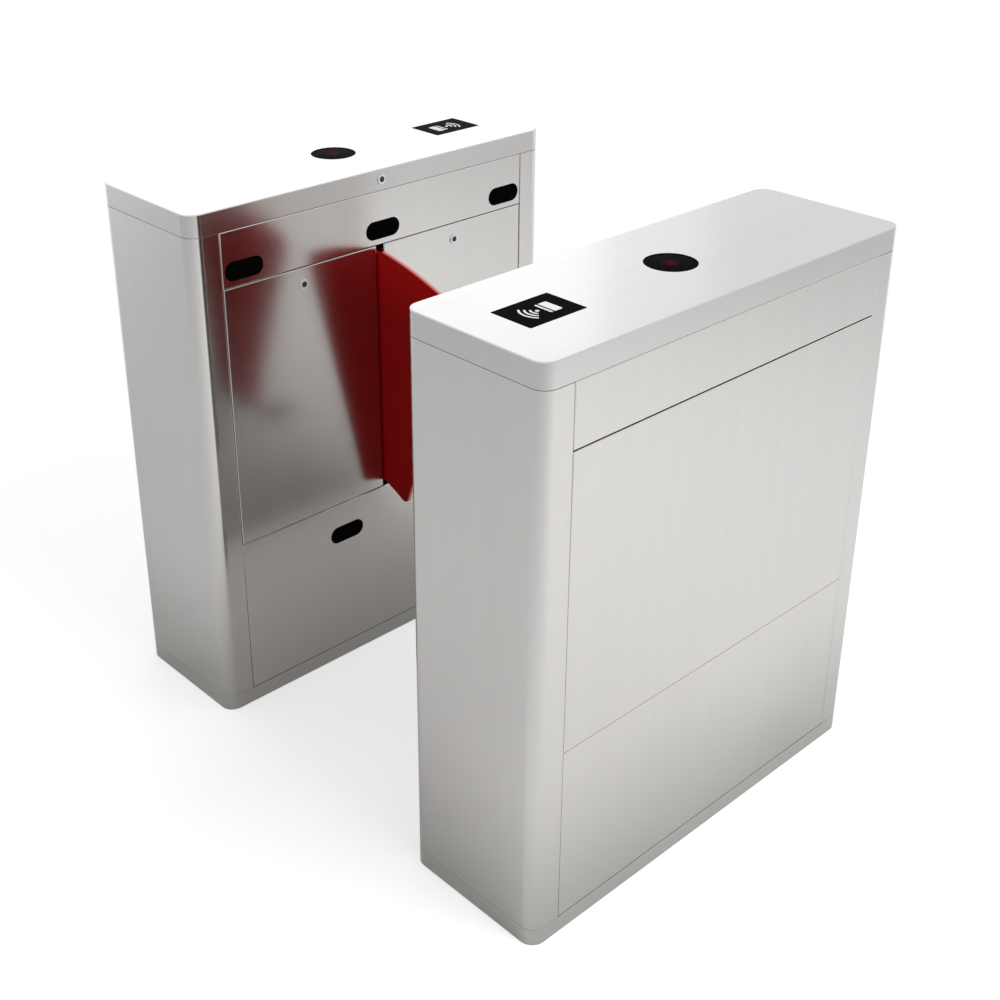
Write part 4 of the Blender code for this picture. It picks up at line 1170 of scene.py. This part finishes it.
@dataclass
class CamLock:
    """A cam lock with its rim, key plug, barrel, nut and cam."""

    fitter: Fitter
    rim_radius: float = 0.0095
    rim: float = 0.0012
    rim_edge: float = 0.0005
    plug_radius: float = 0.0052
    plug_gap: float = 0.0002
    plug_edge: float = 0.00015
    keyway: Place = (0.0017, 0.0078)
    barrel_radius: float = 0.008
    depth: float = 0.016
    nut_start: float = 0.0062
    nut_thickness: float = 0.0042
    nut_radius: float = 0.0115
    cam_half: float = 0.006
    cam_thickness: float = 0.0025
    cam_corner: float = 0.003
    screw_height: float = 0.0018
    screw_radius: float = 0.0042
    overlap: float = 0.0002
    door_reach: float = 0.024
    lid_reach: float = 0.018

    def head(self, y: float, z: float) -> tuple[Piece, Piece]:
        """The lock's rim and the key plug inside it.

        Args:
            y: The axis's place along the lane.
            z: The axis's height.

        Returns:
            The rim and the plug.
        """
        face = -PLAN.seat_gap - self.rim
        head = rod(PLAN.at(-PLAN.seat_gap, y, z), Axis.X, self.rim, self.rim_radius, 64)
        round_edges(head, edge_on(0, PLAN.x(face)), self.rim_edge, 3)
        cut(head, rod(PLAN.at(self.rim, y, z), Axis.X, self.rim * 3, self.plug_radius + self.plug_gap))
        plug = rod(PLAN.at(0.0, y, z), Axis.X, self.rim, self.plug_radius)
        half_width, half_height = (size / 2 for size in self.keyway)
        cut(plug, block((face, -self.rim / 2), around(y, half_width), around(z, half_height)))
        return head, plug

    def fit_lock(self, node: str, y: float, z: float, reach: float) -> None:
        """Builds and fits one lock.

        Args:
            node: The CAD node that it stands for, which is also the name of its body.
            y: Its axis's place along the lane.
            z: Its axis's height.
            reach: How far its cam reaches from the axis.
        """
        head, plug = self.head(y, z)
        # The key plug takes the dark enamel, which also stands in as painted shade for the recess round the
        # keyway.
        self.fitter.fit(plug, f"{node}_plug", BLACK_ENAMEL, node, edge=self.plug_edge)
        barrel = rod(PLAN.at(self.depth, y, z), Axis.X, self.depth - PLAN.seat_gap / 2, self.barrel_radius)
        nut = rod(PLAN.at(self.nut_start, y, z), Axis.X, self.nut_thickness, self.nut_radius, 6)
        cam_depth = (self.depth - PLAN.seat_gap, self.depth + self.cam_thickness)
        cam = block(cam_depth, around(y, self.cam_half), (z - reach, z + self.cam_half))
        round_edges(cam, both(along(TO_LANE), edge_on(2, z + self.cam_half)), self.cam_half * 0.999, 8)
        round_edges(cam, both(along(TO_LANE), edge_on(2, z - reach)), self.cam_corner, 4)
        start = PLAN.at(cam_depth[1] + self.screw_height, y, z)
        screw = rod(start, Axis.X, self.screw_height + self.overlap, self.screw_radius, 6)
        lock = gather(head, barrel, nut, cam, screw)
        self.fitter.fit(lock, f"{node}_set", CHROME, node, node, edge=0.0002)

    def build(self) -> None:
        """Builds the locks of the doors and the lid."""
        for place, span in DOOR_SPANS.items():
            self.fit_lock(f"{place}_door_lock", sum(span) / 2, PLAN.door_lock_height, self.door_reach)
        self.fit_lock("lid_lock", 0.0, PLAN.lid_lock_height, self.lid_reach)


# Windows: sensors, reader and lamp


@dataclass
class Windows:
    """The black windows of the sensors and the reader, the lamp, and what is behind them."""

    fitter: Fitter
    proud: float = 0.0005
    sensor_edge: float = 0.0008
    sensor_band: float = 0.0016
    sensor_step: float = 0.0004
    sensor_sink: float = 0.0002
    flange: float = 0.002
    flange_margin: float = 0.0018
    case_half: Place = (0.028, 0.014)
    case_corner: float = 0.0135
    case_back: float = 0.024
    plug_half: Place = (0.008, 0.006)
    plug_depth: Span = (0.0225, 0.0242)
    sink: float = 0.0003
    reader_edge: float = 0.0004
    lid_flange: float = 0.0015
    lid_flange_margin: float = 0.006
    ink: float = 0.00015
    card_half: float = 0.017
    card: Span = (-0.030, -0.007)
    card_corner: float = 0.0028
    stripe: Span = (-0.0145, -0.011)
    wave_heart: float = 0.001
    wave_radii: tuple[float, ...] = (0.013, 0.021, 0.029)
    wave_width: float = 0.0034
    wave_angle: float = math.radians(92)
    dot_place: float = 0.0035
    dot_radius: float = 0.0032
    socket_offset: float = 0.018
    socket_half: float = 0.008
    socket_place: Span = (-0.030, -0.018)
    socket_height: Span = (-0.004, 0.001)
    lens_drop: float = 0.0016
    lens_ring: Place = (0.0010, 0.0005)
    lens_groove: Place = (0.0006, 0.0002)
    lens_step: float = 0.0065
    lens_rises: tuple[float, ...] = (0.45, 0.30, 0.20, 0.12, 0.06)
    house_radius: float = 0.034
    house_height: float = 0.018
    house_ring: Place = (0.004, 0.002)
    house_boss: Place = (0.016, 0.004)

    def sensor(self, node: str, middle: Place) -> None:
        """A sensor: a polished window, the flange behind the sheet, and the housing with its plug.

        Args:
            node: The CAD node that it stands for.
            middle: (y, z) of its middle.
        """
        back = PLAN.sheet + PLAN.seat_gap
        window = sensor_bar(middle, (-self.proud, back + MM), -PLAN.seat_gap / 2)
        round_edges(window, edge_on(0, PLAN.x(-self.proud)), self.sensor_edge, 3)
        with editing(window):
            pick(window, faces=facing(TO_LANE))
            bpy.ops.mesh.inset(thickness=self.sensor_band)
            bpy.ops.mesh.inset(thickness=self.sensor_step)
            shift(TO_BACK * self.sensor_sink)
        flange = sensor_bar(middle, (back, back + self.flange), self.flange_margin)
        self.fitter.fit(gather(window, flange), f"{node}_window", BLACK_WINDOW, node=node)
        y, z = middle
        depth = (back + self.flange, self.case_back)
        case = block(depth, around(y, self.case_half[0]), around(z, self.case_half[1]))
        round_edges(case, along(TO_LANE), self.case_corner, 5)
        plug = block(self.plug_depth, around(y, self.plug_half[0]), around(z, self.plug_half[1]))
        self.fitter.fit(gather(case, plug), f"{node}_case", SENSOR_CASE, edge=0.0006)

    def reader_window(self) -> None:
        """The reader's window, a hair below the lid's face, with its flange."""
        top = PLAN.height - self.sink
        under = PLAN.height - PLAN.sheet - PLAN.seat_gap
        window = reader_plate(0.0, (under - self.proud, top))
        round_edges(window, edge_on(2, top), self.reader_edge, 2)
        flange = reader_plate(self.lid_flange_margin, (under - self.lid_flange, under))
        self.fitter.fit(gather(window, flange), "reader_glass", BLACK_WINDOW, "lid", "reader_window")

    def wave(self, centre: Vector, radius: float) -> Piece:
        """A flat arc of the reader's sign, a little thicker than ink.

        Args:
            centre: The arc's centre.
            radius: Its outer radius.

        Returns:
            The arc, which opens to the far end.
        """
        bpy.ops.object.select_all(action="DESELECT")
        bpy.ops.mesh.primitive_circle_add(vertices=72, radius=radius, fill_type="NGON", location=centre)
        arc = settle()
        with editing(arc):
            everything()
            bpy.ops.mesh.inset(thickness=self.wave_width)
            bpy.ops.mesh.delete(type="FACE")
            for side in (-1, 1):
                angle = math.pi / 2 + side * self.wave_angle / 2
                normal = Vector((-math.sin(angle), math.cos(angle), 0)) * side
                everything()
                bpy.ops.mesh.bisect(plane_co=centre, plane_no=normal, clear_outer=True)
            everything()
            extrude(UP * self.ink)
            everything()
            bpy.ops.mesh.normals_make_consistent(inside=False)
        return arc

    def reader_sign(self) -> None:
        """The plain sign on the reader: a card with a stripe, and waves beside it."""
        z = PLAN.height - self.sink
        u, y = PLAN.width / 2, PLAN.reader_middle
        card = block(around(u, self.card_half), offset(y, self.card), (z, z + self.ink))
        round_edges(card, along(UP), self.card_corner, 4)
        cut(card, block(around(u, self.card_half + MM), offset(y, self.stripe), around(z, MM)))
        heart = PLAN.at(u, y + self.wave_heart, z)
        waves = [self.wave(heart, radius) for radius in self.wave_radii]
        dot = rod(PLAN.at(u, y + self.dot_place, z), Axis.Z, self.ink, self.dot_radius, 32)
        self.fitter.fit(gather(card, *waves, dot), "reader_sign", PRINT, "lid")

    def reader_module(self) -> None:
        """The reader below its window, with its two cable plugs."""
        module = self.fitter.copy_of("reader_module")
        low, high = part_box("left_reader_module")
        u = PLAN.x((low.x + high.x) / 2)
        middle = (low.y + high.y) / 2
        plugs = [
            block(
                around(u + side * self.socket_offset, self.socket_half),
                offset(middle, self.socket_place),
                offset(low.z, self.socket_height),
            )
            for side in (-1, 1)
        ]
        self.fitter.fit(gather(module, *plugs), "reader_case", CASE_GREY, "lid", "reader_module", edge=0.0004)

    def lamp(self) -> None:
        """The round indicator: a shallow dome in a thin ring, and its housing under the lid."""
        under = PLAN.height - PLAN.sheet - PLAN.seat_gap
        start = PLAN.at(PLAN.width / 2, 0.0, under - MM)
        lens = rod(start, Axis.Z, PLAN.height - self.lens_drop - start.z, PLAN.lamp_radius, 96)
        with editing(lens):
            pick(lens, faces=facing(UP))
            bpy.ops.mesh.inset(thickness=self.lens_ring[0])
            shift(UP * self.lens_ring[1])
            bpy.ops.mesh.inset(thickness=self.lens_groove[0])
            shift(DOWN * self.lens_groove[1])
            for rise in self.lens_rises:
                bpy.ops.mesh.inset(thickness=self.lens_step)
                shift(UP * rise * MM)
        flange_start = PLAN.at(PLAN.width / 2, 0.0, under - self.lid_flange)
        flange_radius = PLAN.lamp_radius + self.lid_flange_margin
        flange = rod(flange_start, Axis.Z, self.lid_flange, flange_radius, 64)
        self.fitter.fit(gather(lens, flange), "lamp_lens", LAMP_LENS, "lid", "indicator_lamp")
        low = under - self.lid_flange - self.house_height
        house = rod(PLAN.at(PLAN.width / 2, 0.0, low), Axis.Z, self.house_height, self.house_radius, 64)
        with editing(house):
            pick(house, faces=facing(DOWN))
            bpy.ops.mesh.inset(thickness=self.house_ring[0])
            shift(UP * self.house_ring[1])
            bpy.ops.mesh.inset(thickness=self.house_boss[0])
            extrude(DOWN * self.house_boss[1])
        self.fitter.fit(house, "lamp_case", SENSOR_CASE, "lid", edge=0.0006)

    def build(self) -> None:
        """Builds every window and what is behind it."""
        for node, middle in SENSORS.items():
            self.sensor(node, middle)
        self.reader_window()
        self.reader_sign()
        self.reader_module()
        self.lamp()


# Flap, arm and drive


class CapScrew(Enum):
    """The socket head screws, by the radius and height of their heads."""

    CHEEK = (0.0050, 0.0040)
    BEARING = (0.0028, 0.0022)
    MOTOR = (0.0036, 0.003)
    FLOOR = (0.0042, 0.004)
    BOX = (0.0035, 0.0015)

    def head(self, start: Vector, axis: Axis, way: int) -> Piece:
        """A screw's head, with its socket.

        Args:
            start: The middle of the head's underside.
            axis: The axis that it lies along.
            way: 1 or -1, the way it looks.

        Returns:
            The head.
        """
        radius, height = self.value
        edge_share, socket_share, depth_share = 0.12, 0.52, 0.55
        direction = axis.direction * way
        head = rod(start, axis, way * height, radius, 24)
        top = start + direction * height
        index = "XYZ".index(axis.name)
        round_edges(head, edge_on(index, top[index]), radius * edge_share, 2)
        depth = height * depth_share + MM
        cut(head, rod(top + direction * MM, axis, -way * depth, radius * socket_share, 6))
        return head

    def circle(self, middle: Sequence[float], radius: float, count: int, way: int) -> list[Piece]:
        """Screws on a circle about an axis that lies along the lane.

        Args:
            middle: (u, y, z) of the circle's middle.
            radius: Its radius.
            count: How many screws it has.
            way: 1 or -1, the way they look.

        Returns:
            The screws' heads. Four stand on the diagonals, and three start at the top.
        """
        u, y, z = middle
        first = 45 if count == 4 else 90
        heads = []
        for i in range(count):
            angle = math.radians(first + 360 // count * i)
            place = PLAN.at(u + radius * math.cos(angle), y, z + radius * math.sin(angle))
            heads.append(self.head(place, Axis.Y, way))
        return heads


# The name, finish, body and edge radius of each piece that follows its CAD node closely.
CLOSE_COPIES: dict[str, tuple[str, Finish, str, float]] = {
    "flap_panel": ("flap_moulding", RED_FLAP, "flap", 0.0),
    "swing_arm": ("arm_plate", ZINC, "flap", 0.0006),
    "drive_sector": ("sector_gear", GEAR_STEEL, "flap", 0.0002),
    "motor_pinion": ("pinion_gear", GEAR_STEEL, "pinion", 0.0002),
    "mechanism_bracket": ("bearing_plates", ZINC, "cabinets", 0.0006),
    "stop_bumper": ("stop_roller", RUBBER, "cabinets", 0.0005),
}


@dataclass
class Drive:
    """The flap on its arm, the toothed drive, the bracket, the stop and the control box."""

    fitter: Fitter
    cheek_depth: float = 0.032
    cheek_back: float = 0.0103
    cheek_screws: tuple[float, ...] = (0.355, 0.425, 0.495, 0.565)
    terminal_half: float = 0.016
    terminal_place: Span = (-0.075, -0.035)
    terminal_corner: float = 0.004
    terminal_sink: float = 0.7
    terminal_height: float = 0.008
    gland: Place = (0.005, 0.012)
    band: Place = (0.0308, 0.002)
    band_start: float = 0.018
    band_step: float = 0.006
    motor_screw_circle: float = 0.0235
    plate_inset: float = 0.010
    plate: float = 0.006
    bearing_ring: tuple[float, float, float] = (0.022, 0.0127, 0.0045)
    bearing_screw_circle: float = 0.0178
    overcut: float = 0.002
    floor_screw_depths: Span = (0.062, 0.228)
    floor_screw_inset: float = 0.005
    floor_screw_height: float = 0.0093
    box_gland: Span = (0.0105, 0.0072)
    box_gland_drop: Span = (0.006, 0.016)
    box_gland_depth: float = 0.032
    box_gland_start: float = 0.04
    box_gland_step: float = 0.03
    box_screw_inset: float = 0.012

    def copied(self, *nodes: str) -> None:
        """Pieces that follow their CAD nodes closely, with soft edges.

        Args:
            nodes: The nodes' names without their side.
        """
        for node in nodes:
            name, finish, body, edge = CLOSE_COPIES[node]
            self.fitter.fit(self.fitter.copy_of(node), name, finish, body, node, edge)

    def cheek(self) -> None:
        """The screws that hold the flap on the arm's cheek."""
        face = PLAN.flap_plane - self.cheek_back
        places = [PLAN.at(self.cheek_depth, face, PLAN.pivot_height + rise) for rise in self.cheek_screws]
        screws = [CapScrew.CHEEK.head(place, Axis.Y, -1) for place in places]
        self.fitter.fit(gather(*screws), "cheek_screws", GEAR_STEEL, "flap")

    def motor(self) -> list[Piece]:
        """The geared motor with its terminal box, and the screws of its front face.

        Returns:
            The screws, which are fitted with those of the bracket.
        """
        motor = self.fitter.copy_of("gear_motor")
        low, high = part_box("left_gear_motor")
        u = PLAN.x((low.x + high.x) / 2)
        z = (low.z + high.z) / 2
        ring = (high - low).x / 2
        place = offset(high.y, self.terminal_place)
        height = (z + ring * self.terminal_sink, z + ring + self.terminal_height)
        box = block(around(u, self.terminal_half), place, height)
        round_edges(box, along(UP), self.terminal_corner, 3)
        gland_start = PLAN.at(u, place[1] - MM, z + ring + MM)
        gland = rod(gland_start, Axis.Y, self.gland[1], self.gland[0], 6)
        bands = []
        for i in range(3):
            start = PLAN.at(u, high.y - self.band_start - self.band_step * i, z)
            bands.append(rod(start, Axis.Y, -self.band[1], self.band[0], 64))
        case = gather(motor, box, gland, *bands)
        self.fitter.fit(case, "motor_case", BLACK_ENAMEL, node="gear_motor", edge=0.0005)
        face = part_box("left_mechanism_bracket")[1].y - self.plate_inset - self.plate
        return CapScrew.MOTOR.circle((u, face, z), self.motor_screw_circle, 4, -1)

    def bracket(self, motor_screws: Sequence[Piece]) -> None:
        """The bearing rings on the bracket's plates, and the screws of rings, motor and floor.

        Args:
            motor_screws: The screws that hold the motor.
        """
        low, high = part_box("left_mechanism_bracket")
        outer, bore, thickness = self.bearing_ring
        pieces = []
        for y, way in ((low.y + self.plate_inset, -1), (high.y - self.plate_inset, 1)):
            ring = rod(PLAN.at(PLAN.pivot_inset, y, PLAN.pivot_height), Axis.Y, way * thickness, outer, 64)
            start = PLAN.at(PLAN.pivot_inset, y - way * self.overcut, PLAN.pivot_height)
            cut(ring, rod(start, Axis.Y, way * thickness * 2, bore))
            pieces.append(ring)
            face = (PLAN.pivot_inset, y + way * thickness, PLAN.pivot_height)
            pieces.extend(CapScrew.BEARING.circle(face, self.bearing_screw_circle, 3, way))
        pieces.extend(motor_screws)
        for depth in self.floor_screw_depths:
            for y in (low.y + self.floor_screw_inset, high.y - self.floor_screw_inset):
                pieces.append(CapScrew.FLOOR.head(PLAN.at(depth, y, self.floor_screw_height), Axis.Z, 1))
        self.fitter.fit(gather(*pieces), "bracket_fittings", GEAR_STEEL)

    def control(self) -> None:
        """The control box with its lid screws and cable glands."""
        box = self.fitter.copy_of("control_box")
        low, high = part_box("left_control_box")
        face = PLAN.x(high.x)
        glands = []
        for i in range(3):
            y = low.y + self.box_gland_start + self.box_gland_step * i
            start = PLAN.at(face + self.box_gland_depth, y, low.z + MM)
            for radius, drop, sides in zip(self.box_gland, self.box_gland_drop, (6, 32)):
                glands.append(rod(start, Axis.Z, -drop, radius, sides))
        self.fitter.fit(gather(box, *glands), "control_case", CASE_GREY, node="control_box", edge=0.0005)
        inset = self.box_screw_inset
        screws = [
            CapScrew.BOX.head(PLAN.at(face, y, z), Axis.X, 1)
            for y in (low.y + inset, high.y - inset)
            for z in (low.z + inset, high.z - inset)
        ]
        self.fitter.fit(gather(*screws), "control_screws", GEAR_STEEL)

    def build(self) -> None:
        """Builds the flap and all that drives it."""
        self.copied("flap_panel", "swing_arm")
        self.cheek()
        self.copied("drive_sector", "motor_pinion")
        motor_screws = self.motor()
        self.copied("mechanism_bracket")
        self.bracket(motor_screws)
        self.copied("stop_bumper")
        self.control()


# Studio


@dataclass
class Studio:
    """The pale floor, the soft lamps, the white surroundings and the camera."""

    camera_place: tuple[float, float, float] = (1.7018, -1.6173, 1.7239)
    camera_aim: tuple[float, float, float] = (-0.66021, 0.61837, -0.42631)
    camera_clip: Span = (0.02, 200.0)
    focal_px: float = 1469.1
    principal_px: Place = (473.4, 399.2)
    sensor_mm: float = 36.0
    sky: float = 0.60
    floor_size: float = 60.0
    floor_drop: float = 0.0002
    floor_tones: Span = (0.94, 0.95)
    floor_lift: float = 0.40
    fade_radius: Span = (4.5, 9.0)
    fade_back: Span = (0.35, 1.7)
    backwards: tuple[float, float, float] = (-0.73, 0.68, 0.0)

    def seen(self, bench: NodeBench) -> Socket:
        """A mask that is 1 for the camera, and for what metal and glass mirror or let through.

        Args:
            bench: The bench of the material or the world.

        Returns:
            The mask.
        """
        path = bench.add("ShaderNodeLightPath").outputs
        pair = bench.maths("MAXIMUM", path["Is Camera Ray"], path["Is Glossy Ray"])
        return bench.maths("MAXIMUM", pair, path["Is Transmission Ray"])

    def floor_material(self) -> bpy.types.Material:
        """The floor's pale finish, lifted near white for the camera, which fades to white far away.

        Returns:
            The material.
        """
        material = bpy.data.materials.new("pale_floor")
        material.use_nodes = True
        bench = NodeBench(material.node_tree)
        shader = material.node_tree.nodes["Principled BSDF"]
        where = bench.coordinates()
        cloud = bench.noise(where, 0.6, Detail=2.0)
        dark, light = ((tone,) * 3 for tone in self.floor_tones)
        colour = bench.tones(cloud, dark, light)
        bench.feed(shader, {"Base Color": colour, "Roughness": 0.9, "Specular IOR Level": 0.1})
        radius = bench.vectors("LENGTH", where)["Value"]
        back = bench.vectors("DOT_PRODUCT", where, self.backwards)["Value"]
        edges = (
            bench.ease(radius, *self.fade_radius, curve="SMOOTHSTEP"),
            bench.ease(back, *self.fade_back, curve="SMOOTHSTEP"),
        )
        share = bench.maths("MULTIPLY", bench.maths("MAXIMUM", *edges), self.seen(bench))
        camera = bench.add("ShaderNodeLightPath").outputs["Is Camera Ray"]
        lift = bench.maths("MULTIPLY", camera, self.floor_lift)
        glow = bench.add("ShaderNodeEmission", {"Color": WHITE, "Strength": lift})
        lifted = bench.add("ShaderNodeAddShader", {0: shader.outputs[0], 1: glow.outputs[0]})
        white = bench.add("ShaderNodeEmission", {"Color": WHITE, "Strength": 1.0})
        surface = bench.mixed_shaders(share, lifted.outputs[0], white.outputs[0])
        bench.feed(material.node_tree.nodes["Material Output"], {"Surface": surface})
        return material

    def floor(self) -> None:
        """A wide pale floor."""
        bpy.ops.object.select_all(action="DESELECT")
        bpy.ops.mesh.primitive_plane_add(size=self.floor_size, location=(0, 0, -self.floor_drop))
        floor = settle()
        floor.name = "studio_floor"
        floor.data.materials.append(self.floor_material())

    def surroundings(self) -> None:
        """White for the camera and for reflections, and a plain level of light for the rest."""
        world = bpy.data.worlds.new("studio_world")
        bpy.context.scene.world = world
        world.use_nodes = True
        world.node_tree.nodes.clear()
        bench = NodeBench(world.node_tree)
        dim = bench.add("ShaderNodeBackground", {"Color": WHITE, "Strength": self.sky})
        white = bench.add("ShaderNodeBackground", {"Color": WHITE, "Strength": 1.0})
        surface = bench.mixed_shaders(self.seen(bench), dim.outputs[0], white.outputs[0])
        bench.add("ShaderNodeOutputWorld", {"Surface": surface})

    def lamp(
        self, name: str, place: Vector, aim: Vector, size: Place, radiance: float, mirrored: bool = True
    ) -> None:
        """A soft box.

        Args:
            name: The lamp's name.
            place: Where it hangs.
            aim: The point that it looks at.
            size: Its width and height.
            radiance: How bright its face is, where white paper in plain light is 1.
            mirrored: Whether polished surfaces show it.
        """
        light = bpy.data.lights.new(name, "AREA")
        light.shape = "RECTANGLE"
        light.size, light.size_y = size
        light.energy = radiance * math.pi * size[0] * size[1]
        obj = bpy.data.objects.new(name, light)
        bpy.context.scene.collection.objects.link(obj)
        obj.location = place
        obj.rotation_euler = (aim - place).to_track_quat("-Z", "Y").to_euler()
        obj.visible_camera = False
        obj.visible_glossy = mirrored

    def lamps(self) -> None:
        """Two soft boxes behind, mirrored in the lids, and one on the right."""
        lid = Vector((0.0, 0.0, 0.9))
        foot = Vector((1.1, 0.4, 0.0))
        self.lamp("back_softbox", Vector((-4.45, 2.78, 2.6)), lid, (3.4, 2.4), 0.36)
        self.lamp("back_fringe", Vector((-4.27, 3.04, 2.6)), lid, (4.0, 2.4), 0.20)
        self.lamp("right_softbox", Vector((1.9, 0.5, 2.5)), foot, (2.0, 2.0), 3.4, mirrored=False)

    def camera(self) -> None:
        """The camera at the photograph's place."""
        data = bpy.data.cameras.new("camera")
        data.sensor_width = self.sensor_mm
        data.lens = self.focal_px / IMAGE_SIDE * self.sensor_mm
        data.shift_x = (IMAGE_SIDE / 2 - self.principal_px[0]) / IMAGE_SIDE
        data.shift_y = (self.principal_px[1] - IMAGE_SIDE / 2) / IMAGE_SIDE
        data.clip_start, data.clip_end = self.camera_clip
        camera = bpy.data.objects.new("camera", data)
        bpy.context.scene.collection.objects.link(camera)
        camera.location = self.camera_place
        camera.rotation_euler = Vector(self.camera_aim).to_track_quat("-Z", "Y").to_euler()
        bpy.context.scene.camera = camera

    def build(self) -> None:
        """Sets up the studio."""
        self.camera()
        self.floor()
        self.surroundings()
        self.lamps()
        bpy.context.scene.view_settings.view_transform = "Standard"


def main() -> None:
    """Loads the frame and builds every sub-assembly."""
    logging.basicConfig(level=logging.INFO, format="%(name)s: %(message)s")
    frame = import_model()
    bpy.ops.object.select_all(action="DESELECT")
    build_grain_group()
    build_handling_group()
    build_painted_shade_group()
    build_speckle_group()
    build_spangle_group()
    Studio().build()
    fitter = Fitter(frame)
    for assembly in (SheetMetal, CamLock, Windows, Drive):
        assembly(fitter).build()
    LOG.info("%d pieces fitted", fitter.count)


if __name__ == "__main__":
    main()
